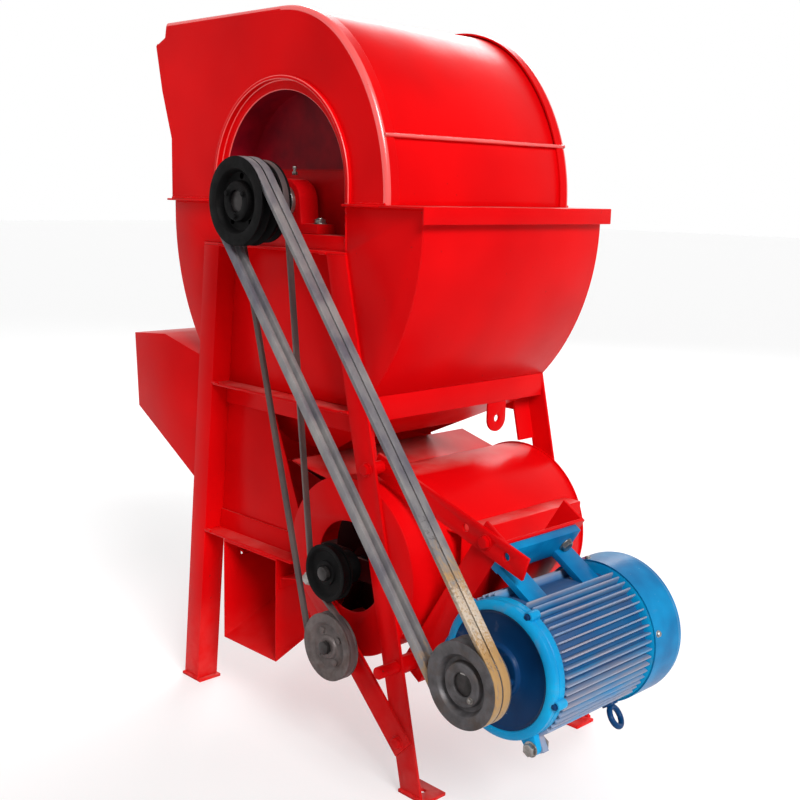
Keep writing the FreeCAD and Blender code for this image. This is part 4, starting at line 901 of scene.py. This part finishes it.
@dataclass
class SheetBody(SubAssembly):
    """Hood, end plates, flanges and the drum's trough."""

    rim_radius_mm: float = 9.0
    hem_radius: float = 3.4 * MM
    hem_level: float = 1.1435
    rim_reach: float = 0.245
    rim_left: float = -0.3
    rim_foot: float = 1.035
    hood_radius: float = 0.377
    hood_reach: float = 0.285
    hood_level: float = 1.0337
    flange_level: float = 1.029
    flange_welds: tuple = ((-0.386, -0.236), (0.164, 0.245))
    beam_welds: tuple = (-0.214, 0.142)
    beam_foot: float = 0.947
    beam_top: float = 1.022
    trough_weld: tuple = (0.236, 0.01, 1.0285)

    def build(self) -> None:
        """Dresses the sheets, then adds the rolled hem and the welds."""
        self.end_plates()
        rims = softened("arch_rims", 3.3, 4)
        hand_over(rims, Body.MACHINE, RED, "arch_rims")
        # The lip's rounded faces take the painted highlight.
        glaze(rims, RED_PAINTED_HIGHLIGHT, lambda centre, normal: 0.08 < abs(normal.y) < 0.995)
        self.dress(["hood_sheet", "hood_skirt", "trough_sheet_left", "trough_sheet_right",
                    "feed_wall"], Body.MACHINE, RED, 1.0)
        self.dress(["side_flanges", "end_flanges"], Body.MACHINE, RED, 1.6)
        self.dress(["trough_ends"], Body.MACHINE, RED, 1.0)
        # The niches' upper walls are in painted shade.
        self.dress(["bearing_niches"], Body.MACHINE, RED_NICHE_SHADE, 1.0)
        self.hem()
        self.welds()

    def end_plates(self) -> None:
        """Rounds the pressed edge where each end plate turns into its rim, and paints a highlight on that
        rounded corner.
        """
        for node, plane in (("end_plate_near", NEAR_PLANE), ("end_plate_far", FAR_PLANE)):
            piece = softened(node, 0)
            bpy.ops.object.mode_set(mode="EDIT")
            select_edges(piece, lambda middle, direction: self.on_rim(middle, direction, plane))
            bpy.ops.mesh.bevel(offset=self.rim_radius_mm * MM, segments=5, affect="EDGES")
            bpy.ops.object.mode_set(mode="OBJECT")
            round_edges(piece, 0.8, 2, 40)
            hand_over(piece, Body.MACHINE, RED, node)
            # The rounded corner's faces take the painted highlight.
            width = self.rim_radius_mm * MM
            glaze(piece, RED_PAINTED_HIGHLIGHT, lambda centre, normal: abs(centre.y - plane) < width
                  and 0.08 < abs(normal.y) < 0.99
                  and (centre - DRUM_AXIS).xz.length > self.rim_reach - 0.01)

    def on_rim(self, middle: Vector, direction: Vector, plane: float) -> bool:
        """Whether an edge lies on the curved outer corner of an end plate."""
        outside = abs(middle.y - plane) < 0.2 * MM and abs(direction.y) < 0.01
        curved = (middle - DRUM_AXIS).xz.length > self.rim_reach
        return outside and curved and middle.x > self.rim_left and middle.z > self.rim_foot

    def hem(self) -> None:
        """The rolled top edge of the skirt, where the hood sheet slips behind it."""
        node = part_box("hood_skirt")
        x = node[1].x
        level = self.hem_level
        side_x = self.hood_x(level) + 1.0 * MM
        hem = rod("skirt_hem", Vector((side_x, NEAR_PLANE + 0.006, level)),
                  Vector((min(side_x, x), FAR_PLANE - 0.006, level)), self.hem_radius, 12, 0.4)
        bpy.ops.object.mode_set(mode="EDIT")
        select_edges(hem, lambda middle, direction: abs(direction.y) > 0.9)
        bpy.ops.mesh.subdivide(number_cuts=24)
        bpy.ops.mesh.select_all(action="SELECT")
        bpy.ops.transform.vertex_random(offset=0.5 * MM, uniform=0.2, normal=0.5, seed=self.seed)
        bpy.ops.object.mode_set(mode="OBJECT")
        # The whole hem is in the painted highlight colour.
        hand_over(hem, Body.MACHINE, RED_PAINTED_HIGHLIGHT)

    def hood_x(self, level: float) -> float:
        """Where the hood's outer line stands at a level on its curved side."""
        centre_x = DRUM_AXIS.x + self.hood_reach - self.hood_radius
        return centre_x + math.sqrt(self.hood_radius ** 2 - (level - self.hood_level) ** 2)

    def welds(self) -> None:
        """Beads where the flanges meet the plates and the trough meets its ends."""
        runs = []
        for plane, side in ENDS:
            y = plane - side * 0.001
            for start, end in self.flange_welds:
                runs.append(WeldRun(Vector((start, y, self.flange_level)),
                                    Vector((end, y, self.flange_level))))
            y = plane + side * 0.006
            for x in self.beam_welds:
                runs.append(WeldRun(Vector((x, y, self.beam_foot)), Vector((x, y, self.beam_top))))
        x, inset, z = self.trough_weld
        runs.append(WeldRun(Vector((x, NEAR_PLANE + inset, z)), Vector((x, FAR_PLANE - inset, z))))
        hand_over(weld_piece("body_welds", runs), Body.MACHINE, RED)


@dataclass
class Stand(SubAssembly):
    """Legs, feet, rails, panels and braces."""

    rail_levels: tuple = (0.664, 0.349, 0.940)
    leg_height: float = 0.940
    leg_top_left: float = 0.191
    leg_top_right: float = 0.132
    foot_half_span: float = 0.340
    foot_inset: float = 0.025

    def build(self) -> None:
        """Dresses the angle iron and sheet, then adds the welds."""
        self.dress(["leg_near_left", "leg_near_right", "leg_far_left", "leg_far_right"],
                   Body.MACHINE, RED, 1.4)
        self.dress(["foot_plates", "cross_rails", "side_rails", "braces", "tension_strap"],
                   Body.MACHINE, RED, 1.3)
        self.dress(["upper_panels", "lower_panels", "hanging_lug"], Body.MACHINE, RED, 0.8)
        self.dress(["motor_mount", "motor_pivot_rod"], Body.MACHINE, RED, 1.4)
        self.dress(["idler_axle"], Body.MACHINE, DULL_STEEL, 1.0)
        self.welds()

    def welds(self) -> None:
        """Beads where the rails meet the legs and the legs meet the foot plates."""
        runs = []
        for plane, side in ((NEAR_PLANE, 1), (FAR_PLANE, -1)):
            front = plane - side * 0.0005
            for level in self.rail_levels:
                for leg in (-1, 1):
                    x = self.leg_inner(leg, level)
                    if leg == 1 and level < 0.4:
                        continue
                    z = level + 0.001
                    runs.append(WeldRun(Vector((x, front, z)), Vector((x - leg * 0.02, front, z))))
            for leg in (-1, 1):
                x = self.leg_inner(leg, 0.006)
                runs.append(WeldRun(Vector((x, front, 0.0075)),
                                    Vector((x + leg * 0.05, front, 0.0075))))
        hand_over(weld_piece("stand_welds", runs), Body.MACHINE, RED)

    def leg_inner(self, side: int, level: float) -> float:
        """Where a leg's inner edge stands at a level, on one side."""
        top = self.leg_top_left if side < 0 else self.leg_top_right
        foot = self.foot_half_span - side * DRUM_AXIS.x - self.foot_inset
        fallen = (self.leg_height - level) / self.leg_height
        return DRUM_AXIS.x + side * (top + (foot - top) * fallen)


@dataclass
class Thresher(SubAssembly):
    """Drum, its bearings, the grate and the funnel."""

    def build(self) -> None:
        """Dresses the drum and grate and builds the plummer blocks' details."""
        self.dress(["drum_rotor"], Body.DRUM, RED_CASTING, 0.8)
        self.dress(["drum_shaft"], Body.DRUM, DULL_STEEL, 1.5)
        self.dress(["concave_grate", "funnel"], Body.MACHINE, RED, 0.6)
        self.dress(["bearing_beams"], Body.MACHINE, RED, 0.8)
        self.dress(["drum_bearings"], Body.MACHINE, RED_CASTING, 3.0)
        self.bearing_details()

    def bearing_details(self) -> None:
        """Locking collars on the shaft's inner rings and grease nipples on the domes."""
        nipples = []
        for plane, side in ((NEAR_PLANE, 1), (FAR_PLANE, -1)):
            middle = plane + side * 0.035
            top = DRUM_AXIS.z + 0.049
            foot = Vector((DRUM_AXIS.x, middle, top))
            nipples.append(rod("nipple_hex", foot, foot + UP * 0.006, 0.0055, 6, 0.4))
            nipples.append(rod("nipple_stem", foot + UP * 0.006, foot + UP * 0.013, 0.0028, 12,
                               0.4))
            nipples.append(rod("nipple_head", foot + UP * 0.011, foot + UP * 0.016, 0.0038, 12,
                               0.9))
        hand_over(gather("grease_nipples", nipples), Body.MACHINE, STEEL)
        collars = []
        for plane, side in ((NEAR_PLANE, -1), (FAR_PLANE, 1)):
            face = plane + (0.013 if side < 0 else -0.013)
            start = face if side > 0 else face - 0.009
            centre = Vector((DRUM_AXIS.x, start, DRUM_AXIS.z))
            collars.append(lathe("collar", [(0.2, 20.05), (0.2, 31), (8.8, 31), (8.8, 20.05)],
                                 centre, 48, 1.0))
        hand_over(gather("shaft_collars", collars), Body.DRUM, STEEL)


@dataclass
class Cleaner(SubAssembly):
    """Husk duct, separation chamber, grain spout and the fan."""

    seam_x: float = -0.3225
    seam_z: float = 0.4510
    seam_inset: float = 0.006

    def build(self) -> None:
        """Dresses the ducts and the fan, then closes the duct's seam."""
        self.dress(["husk_duct", "chamber_walls", "grain_spout"], Body.MACHINE, RED, 1.0)
        self.dress(["fan_casing", "fan_end_plates", "fan_casing_ledge"], Body.MACHINE, RED, 1.2)
        # Carriers and impeller are darkened as painted shade.
        self.dress(["fan_carriers"], Body.MACHINE, RED_FAN_SHADE, 1.0)
        self.dress(["fan_bearings"], Body.MACHINE, BLACK_IRON, 2.0)
        self.dress(["fan_shaft"], Body.FAN, DULL_STEEL, 1.0)
        self.dress(["fan_impeller"], Body.FAN, RED_FAN_SHADE, 0.5)
        self.pulley()
        seam = WeldRun(Vector((self.seam_x, NEAR_PLANE + self.seam_inset, self.seam_z)),
                       Vector((self.seam_x, FAR_PLANE - self.seam_inset, self.seam_z)))
        hand_over(weld_piece("duct_seam", [seam]), Body.MACHINE, RED)

    def pulley(self) -> None:
        """The fan's flat-faced pulley, with a dished front and a hub."""
        front = Vector((FAN_AXIS.x, THIN_FACE, FAN_AXIS.z))
        pulley = lathe("fan_pulley.turned", [
            (2, 12.6), (2, 22), (6, 23), (6, 40), (2, 43), (0, 45), (0, 52), (3, 52), (3, 47),
            (19, 47), (19, 52), (22, 52), (22, 44), (14, 40), (14, 24), (20, 22), (20, 12.6)], front, 72, 0.7)
        hand_over(pulley, Body.FAN, BLACK_IRON, "fan_pulley")


@dataclass
class Drive(SubAssembly):
    """Grooved pulleys and belts."""

    groove_half_mm: float = 8.65
    groove_depth_mm: float = 14.0
    groove_floor_mm: float = 3.6
    thread_count: int = 60

    def build(self) -> None:
        """Builds the pulleys and dresses the belts."""
        self.drum_pulley()
        self.fan_drive_pulley()
        self.motor_pulley()
        self.idler_pulley()
        belts = softened("main_belts", 0.9, 2, 30)
        hand_over(belts, Body.MACHINE, BELT, "main_belts")
        hand_over(softened("fan_belt", 0.8, 2, 30), Body.MACHINE, FAN_BELT, "fan_belt")
        self.fray()

    def grooves(self, centres: Sequence[float], radius: float, half: float, floor: float,
                depth: float) -> list[tuple[float, float]]:
        """The corners of V-grooves along a rim.

        Args:
            centres: Each groove's place along the rim, in millimetres.
            radius: The rim's radius.
            half: Half the groove's width at the rim.
            floor: Half its width at the bottom.
            depth: Its depth.

        Returns:
            Corners as (place along Y, radius).
        """
        corners = []
        for centre in centres:
            corners += [(centre - half, radius), (centre - floor, radius - depth),
                        (centre + floor, radius - depth), (centre + half, radius)]
        return corners

    def twin_rim(self, radius: float) -> list[tuple[float, float]]:
        """The rim of a pulley for the two main belts."""
        return self.grooves((10.5, 29.5), radius, self.groove_half_mm, self.groove_floor_mm,
                            self.groove_depth_mm)

    def drum_pulley(self) -> None:
        """The black pulley on the drum shaft, with five holes through its web."""
        front = Vector((DRUM_AXIS.x, MAIN_FACE, DRUM_AXIS.z))
        pulley = lathe("drum_pulley.turned", [
            (1, 20.1), (1, 33), (3, 35), (15, 37), (15, 52), (3, 56), (0, 58), (0, 79)]
            + self.twin_rim(79) + [
            (40, 79), (40, 58), (25, 54), (25, 37), (39, 34), (39, 20.1)], front, 96, 0.8)
        tools = []
        for index in range(5):
            angle = math.tau * index / 5 + 0.3
            centre = front + Vector((math.cos(angle), 0, math.sin(angle))) * 0.0445
            tools.append(rod("tool", centre + FAR * 0.010, centre + FAR * 0.030, 0.0058, 20, 0))
        drill(pulley, tools)
        round_edges(pulley, 0)
        screws = Fasteners(head_radius=5 * MM, washer_radius=6 * MM, washer_wall=1 * MM)
        places = [(front + Vector((math.cos(angle) * 0.027, 0.001, math.sin(angle) * 0.027)),
                   NEAR, SCREW, 0.0) for angle in (0.5, 2.6, 4.7)]
        hand_over(pulley, Body.DRUM, BLACK_IRON, "drum_pulley")
        hand_over(screws.set_of("drum_pulley_screws", places), Body.DRUM, BLACK_IRON)

    def fan_drive_pulley(self) -> None:
        """The thin pulley behind it that drives the fan belt."""
        front = Vector((DRUM_AXIS.x, THIN_FACE, DRUM_AXIS.z))
        pulley = lathe("fan_drive_pulley.turned", [
            (0, 20.1), (0, 33), (6, 35), (6, 56), (0, 59), (0, 74)]
            + self.grooves((11,), 74, 6.65, 2.7, 11) + [
            (22, 74), (22, 59), (16, 56), (16, 35), (22, 33), (22, 20.1)], front, 96, 0.7)
        hand_over(pulley, Body.DRUM, BLACK_IRON, "fan_drive_pulley")

    def motor_pulley(self) -> None:
        """The motor's grey pulley, with a stepped hub, a key and its locking screw."""
        front = Vector((MOTOR_AXIS.x, MAIN_FACE, MOTOR_AXIS.z))
        pulley = lathe("motor_pulley.turned", [
            (5, 19.1), (4, 21), (2.5, 23), (2.5, 33), (4.5, 35.5), (13, 37), (13, 44), (3, 48),
            (0, 50), (0, 70)]
            + self.twin_rim(70) + [
            (40, 70), (40, 50), (28, 46), (28, 36), (39, 33), (39, 19.1)], front, 96, 0.8)
        hand_over(pulley, Body.MOTOR_SHAFT, GREY_IRON, "motor_pulley")
        screws = Fasteners(head_radius=4.5 * MM, washer_radius=5.5 * MM, washer_wall=0.8 * MM)
        seat = front + Vector((0.020, 0.0025, -0.0185))
        hand_over(screws.set_of("motor_pulley_screw", [(seat, NEAR, SCREW, 0.0)]),
                  Body.MOTOR_SHAFT, STEEL)
        key = prism("motor_key", [(MOTOR_AXIS.x - 0.005, MOTOR_AXIS.z + 0.0165),
                                  (MOTOR_AXIS.x + 0.005, MOTOR_AXIS.z + 0.0165),
                                  (MOTOR_AXIS.x + 0.005, MOTOR_AXIS.z + 0.0225),
                                  (MOTOR_AXIS.x - 0.005, MOTOR_AXIS.z + 0.0225)], -0.3405, 0.010, 0.5)
        hand_over(key, Body.MOTOR_SHAFT, STEEL)

    def idler_pulley(self) -> None:
        """The grey idler, with bosses round its dish."""
        front = Vector((IDLER_AXIS.x, THIN_FACE, IDLER_AXIS.z))
        pulley = lathe("idler_pulley.turned", [
            (1, 10.1), (1, 20), (3, 22), (6.5, 23), (6.5, 40), (2, 44), (0, 46), (0, 62)]
            + self.grooves((11,), 62, 6.65, 2.7, 11) + [
            (22, 62), (22, 47), (15, 44), (15, 24), (21, 22), (21, 10.1)], front, 96, 0.7)
        bosses = [pulley]
        for index in range(4):
            angle = math.tau * index / 4 + 0.6
            centre = front + Vector((math.cos(angle), 0, math.sin(angle))) * 0.0315
            bosses.append(rod("boss", centre + FAR * 0.0035, centre + FAR * 0.009, 0.0062, 24, 1.2))
        hand_over(gather("idler_pulley.turned", bosses), Body.IDLER, GREY_IDLER, "idler_pulley")

    def fray(self) -> None:
        """Loose canvas threads on the worn outer belt, seen along its right run."""
        picker = random.Random(self.seed)
        threads = []
        start = Vector((0.5927, -0.3355, 0.3527))
        end = Vector((0.4300, -0.3355, 0.5607))
        for _ in range(self.thread_count):
            share = picker.random() ** 1.4
            side = picker.choice((-1, 1))
            place = start.lerp(end, share) + Vector((0, side * picker.uniform(0.001, 0.007), 0))
            lean = Vector((picker.uniform(0.2, 0.9), side * picker.uniform(0.0, 0.3),
                           picker.uniform(-0.3, 0.9)))
            length = picker.uniform(0.004, 0.009)
            threads.append(rod("thread", place, place + lean.normalized() * length, 0.00035, 5, 0))
        hand_over(gather("belt_threads", threads), Body.MACHINE, BELT)


@dataclass
class Motor(SubAssembly):
    """The foot-mounted induction motor."""

    front_y: float = -0.265
    cover_y: float = -0.003
    back_y: float = 0.079
    cover_radius: float = 0.125
    cover_bend: float = 0.014
    lug_reach: float = 0.1145
    screw_reach: float = 0.1247

    def build(self) -> None:
        """Builds the shields and the cover and dresses the rest."""
        self.dress(["motor_housing"], Body.MACHINE, BLUE_FINS, 1.0)
        self.dress(["motor_feet"], Body.MACHINE, BLUE_COVER, 1.8)
        self.dress(["motor_eyebolt"], Body.MACHINE, BLUE_SHADE, 0.8)
        self.dress(["motor_stator"], Body.MACHINE, CORE, 0.5)
        self.dress(["motor_rotor"], Body.MOTOR_SHAFT, DULL_STEEL, 1.2)
        self.dress(["motor_fan"], Body.MOTOR_SHAFT, BLACK_IRON, 0.5)
        self.shields()
        self.cover()

    def shields(self) -> None:
        """End shields with a face in painted shade, a bright stepped rim, bosses and a bolted ear."""
        front = Vector((MOTOR_AXIS.x, self.front_y, MOTOR_AXIS.z))
        face = lathe("motor_shields.face", [
            (0, 19.2), (0, 42), (3, 45), (8, 46), (11, 60), (11, 92), (7, 97), (16, 97),
            (16, 19.2)],
            front, 96, 0.8)
        # The shield's face is in painted shade.
        hand_over(face, Body.MACHINE, BLUE_SHADE)
        rim = lathe("front_rim", [
            (7, 97.2), (5, 99), (5, 104), (7, 110), (10, 113), (19, 113), (20.5, 111.5), (22, 113),
            (34, 113), (34, 98), (16, 98), (16, 97.2)], front, 96, 0.8)
        rear = lathe("rear_shield", [
            (0, 19.2), (0, 122), (16, 122), (16, 19.2)],
            Vector((MOTOR_AXIS.x, self.cover_y, MOTOR_AXIS.z)), 72, 1.0)
        cast = [rim, rear, self.ear()]
        places = []
        for angle in (math.radians(turn) for turn in (20, 95, 165, 265)):
            seat = on_motor(math.cos(angle) * self.lug_reach, math.sin(angle) * self.lug_reach,
                            self.front_y + 0.012)
            cast.append(rod("lug", seat, seat + Vector((0, 0.022, 0)), 0.0085, 24, 1.5))
            places.append((seat, NEAR, SCREW, 0.0))
        hand_over(gather("motor_shields.cast", cast), Body.MACHINE, BLUE, "motor_shields")
        for index in range(3):
            angle = math.tau * index / 3 + 0.4
            seat = on_motor(math.cos(angle) * 0.036, math.sin(angle) * 0.036, self.front_y)
            places.append((seat, NEAR, SCREW, 0.0))
        screws = Fasteners(head_radius=5 * MM, washer_radius=6 * MM, washer_wall=1 * MM)
        hand_over(screws.set_of("shield_screws", places), Body.MACHINE, BLUE_SHADE)

    def ear(self) -> Piece:
        """The ear by which the front shield is bolted to the housing."""
        turn = -EAR_TURN
        half, reach, root = 0.012, 0.143, 0.100
        corners = [(root, -half - 0.006), (reach - half, -half)]
        corners += [(reach - half + half * math.sin(step), -half * math.cos(step))
                    for step in (math.radians(angle) for angle in (22, 45, 68, 90, 112, 135, 158))]
        corners += [(reach - half, half), (root, half + 0.006)]
        outline = []
        for along, aside in corners:
            place = on_motor(along * math.cos(turn) - aside * math.sin(turn),
                             along * math.sin(turn) + aside * math.cos(turn), 0.0)
            outline.append((place.x, place.z))
        return prism("ear", outline, self.front_y + 0.021, 0.013, 2.0)

    def cover(self) -> None:
        """The pressed fan cover, with a rounded back edge and its screws."""
        cover = softened("motor_fan_cover", 0)
        bpy.ops.object.mode_set(mode="EDIT")
        rim = self.cover_radius - 0.002
        select_edges(cover, lambda middle, direction: middle.y > self.back_y - 0.0005
                     and (middle - MOTOR_AXIS).xz.length > rim)
        bpy.ops.mesh.bevel(offset=self.cover_bend, segments=6, affect="EDGES")
        bpy.ops.object.mode_set(mode="OBJECT")
        round_edges(cover, 0.5)
        hand_over(cover, Body.MACHINE, BLUE_COVER, "motor_fan_cover")
        screws = Fasteners(head_radius=5 * MM, washer_radius=6 * MM, washer_wall=0.8 * MM)
        places = []
        for index in range(4):
            angle = math.tau * (index + 0.5) / 4
            seat = on_motor(math.cos(angle) * self.screw_reach, math.sin(angle) * self.screw_reach,
                            self.cover_y + 0.009)
            away = seat - Vector((MOTOR_AXIS.x, seat.y, MOTOR_AXIS.z))
            places.append((seat, away, SCREW, 0.0))
        hand_over(screws.set_of("cover_screws", places), Body.MACHINE, STEEL)


@dataclass
class Bolting(SubAssembly):
    """Every bolt and spacer of the node bolts, with washers and thread ends."""

    def build(self) -> None:
        """Copies the bolts to their places."""
        wall = 2 * MM
        places = []
        for y in (0.0625, 0.2025):
            for side in (-1, 1):
                v = side * 0.109
                seat = on_motor(-0.117, v, NEAR_PLANE + y)
                under = on_motor(-0.138, v, NEAR_PLANE + y)
                away = on_motor(1.0, v, NEAR_PLANE + y) - seat
                places.append((seat, away, 6 * MM, 0.0))
                places.append((under, -away, 6 * MM, 0.0))
        ear = on_motor(0.131 * math.cos(EAR_TURN), -0.131 * math.sin(EAR_TURN), 0.0)
        for x, z, front, back in ((0.062, 0.334, -0.005, 0.008), (ear.x, ear.z, 0.001, 0.027)):
            places.append((Vector((x, NEAR_PLANE + front, z)), NEAR, 8 * MM - wall, 0.0))
            places.append((Vector((x, NEAR_PLANE + back, z)), FAR, 4.5 * MM, 3 * MM))
        places.append((Vector((IDLER_AXIS.x, NEAR_PLANE, IDLER_AXIS.z)), FAR, 4.5 * MM, 3 * MM))
        for side in (-1, 1):
            for y in (0.035, 0.455):
                seat = Vector((DRUM_AXIS.x + side * 0.073, NEAR_PLANE + y, 0.990))
                places.append((seat, UP, 8 * MM - wall, 3 * MM))
        spacers = []
        for x, z, start, end in ((0.211, 0.571, 0.005, 0.034), (0.062, 0.334, 0.0, 0.005),
                                 (0.062, 0.334, 0.485, 0.490)):
            spacers.append(rod("spacer", Vector((x, NEAR_PLANE + start, z)),
                               Vector((x, NEAR_PLANE + end, z)), 0.012, 24, 0.5))
        strap = Vector((self.strap_x(), NEAR_PLANE, self.strap_z()))
        painted = [(Vector((0.309, NEAR_PLANE - 0.005, 0.097)), NEAR, 8 * MM - wall, 0.0),
                   (Vector((0.309, NEAR_PLANE + 0.005, 0.097)), FAR, 4.5 * MM, 3 * MM),
                   (Vector((0.211, NEAR_PLANE, 0.571)), NEAR, 8 * MM - wall, 0.0),
                   (Vector((0.211, NEAR_PLANE + 0.040, 0.571)), FAR, 4.5 * MM, 3 * MM),
                   (strap + FAR * 0.034, NEAR, 8 * MM - wall, 0.0),
                   (strap + FAR * 0.046, FAR, 4.5 * MM, 3 * MM)]
        bolts = Fasteners().set_of("bolts.detailed", places)
        painted_set = Fasteners().set_of("painted_bolts", painted)
        hand_over(gather("painted_bolts", [painted_set] + spacers), Body.MACHINE, RED)
        hand_over(bolts, Body.MACHINE, STEEL, "bolts")

    def strap_x(self) -> float:
        """Where the strap's bolt through the motor mount stands along X."""
        return DRUM_AXIS.x + 0.247 + 0.322 * 263 / math.hypot(322, 101)

    def strap_z(self) -> float:
        """How high that bolt stands."""
        return 0.571 - 0.101 * 263 / math.hypot(322, 101)


# ---------------------------------------------------------------- light and camera


@dataclass
class Studio:
    """Camera, lamps, background and floor."""

    place: Vector = field(default_factory=lambda: Vector((1.644, -1.571, 1.050)))
    yaw: float = math.radians(45.5935)
    pitch: float = math.radians(10.2737)
    roll: float = math.radians(1.2848)
    lens: float = 51.56
    sensor: float = 36.0
    far_limit: float = 60.0
    floor_size: float = 60
    dimmed: float = 0.27

    def build(self) -> None:
        """Makes the camera, the lamps, the background and the floor."""
        self.camera()
        self.lamps()
        self.background()
        self.floor()

    def camera(self) -> None:
        """Stands the camera where the photographer stood."""
        ahead_level = Vector((-math.sin(self.yaw), math.cos(self.yaw), 0))
        side_level = Vector((math.cos(self.yaw), math.sin(self.yaw), 0))
        ahead = ahead_level * math.cos(self.pitch) - UP * math.sin(self.pitch)
        above = ahead_level * math.sin(self.pitch) + UP * math.cos(self.pitch)
        right = side_level * math.cos(self.roll) + above * math.sin(self.roll)
        top = above * math.cos(self.roll) - side_level * math.sin(self.roll)
        turn = Matrix((right, top, -ahead)).transposed().to_4x4()
        bpy.ops.object.camera_add()
        camera = bpy.context.object
        camera.name = "camera"
        camera.matrix_world = Matrix.Translation(self.place) @ turn
        camera.data.lens = self.lens
        camera.data.sensor_width = self.sensor
        camera.data.clip_end = self.far_limit
        bpy.context.scene.camera = camera

    def lamps(self) -> None:
        """A broad key from the right, a weak fill, and a sky panel behind for the hood's edge."""
        self.sun("key", Vector((0.80, -0.28, 0.62)), 2.85, 24)
        self.sun("fill", Vector((-0.30, -0.75, 0.55)), 0.18, 60)
        self.panel("sky", Vector((-2.4, 3.3, 3.6)), Vector((0, 0, 0.9)), 2.6, 150)

    def sun(self, name: str, towards: Vector, strength: float, spread: float) -> None:
        """Adds a distant soft lamp.

        Args:
            name: The lamp's name.
            towards: The direction from the machine to the lamp.
            strength: Its strength.
            spread: Its width in degrees.
        """
        bpy.ops.object.light_add(type="SUN")
        lamp = bpy.context.object
        lamp.name = name
        lamp.rotation_euler = towards.to_track_quat("Z", "Y").to_euler()
        lamp.data.energy = strength
        lamp.data.angle = math.radians(spread)

    def panel(self, name: str, place: Vector, target: Vector, size: float, power: float) -> None:
        """Adds a square lamp that faces a target."""
        bpy.ops.object.light_add(type="AREA", location=place)
        lamp = bpy.context.object
        lamp.name = name
        lamp.rotation_euler = (place - target).to_track_quat("Z", "Y").to_euler()
        lamp.data.size = size
        lamp.data.energy = power

    def background(self) -> None:
        """White where it is seen or mirrored, and softer as a light."""
        world = bpy.data.worlds.new("studio")
        bpy.context.scene.world = world
        world.use_nodes = True
        tree = world.node_tree
        tree.nodes.clear()
        path = add_node(tree, "LightPath", {})
        shown = add_node(tree, "Math", {"operation": "MAXIMUM"},
                         {0: path.outputs["Is Camera Ray"], 1: path.outputs["Is Transmission Ray"]})
        seen = add_node(tree, "Math", {"operation": "MAXIMUM"},
                        {0: shown.outputs[0], 1: path.outputs["Is Glossy Ray"]})
        strength = add_node(tree, "MapRange", {"To Min": self.dimmed, "To Max": 1.0},
                            {"Value": seen.outputs[0]})
        glow = add_node(tree, "Background", {"Color": (1.0, 1.0, 1.0, 1.0)},
                        {"Strength": strength.outputs[0]})
        add_node(tree, "OutputWorld", {}, {"Surface": glow.outputs[0]})

    def floor(self) -> None:
        """A plain pale floor, that shows white to the camera and keeps the shadow."""
        deselect()
        bpy.ops.mesh.primitive_plane_add(size=self.floor_size, location=(0, 0, 0))
        floor = bpy.context.object
        floor.name = "floor"
        make = MaterialTree("pale studio floor")
        tone = make.blend(make.cloud(900, 2, 0.3, 0.7), "#F4F4F4", "#F0F0F0")
        seen = make.add("LightPath", {}).outputs["Is Camera Ray"]
        floor.data.materials.append(make.finish(
            {"Roughness": 0.9, "Specular IOR Level": 0.1, "Emission Color": (1.0, 1.0, 1.0, 1.0)},
            {"Base Color": make.blend(seen, tone, "#BEBEBE"),
             "Emission Strength": make.times(seen, 0.5)}))


def main() -> None:
    """Builds the scene in order."""
    logging.basicConfig(level=logging.INFO, format="%(message)s")
    bpy.context.scene.view_settings.view_transform = "Standard"
    Studio().build()
    for group in (SheetBody(), Stand(), Thresher(), Cleaner(), Drive(), Motor(), Bolting()):
        LOG.info("building %s", type(group).__name__)
        group.build()
    deselect()


if __name__ == "__main__":
    main()
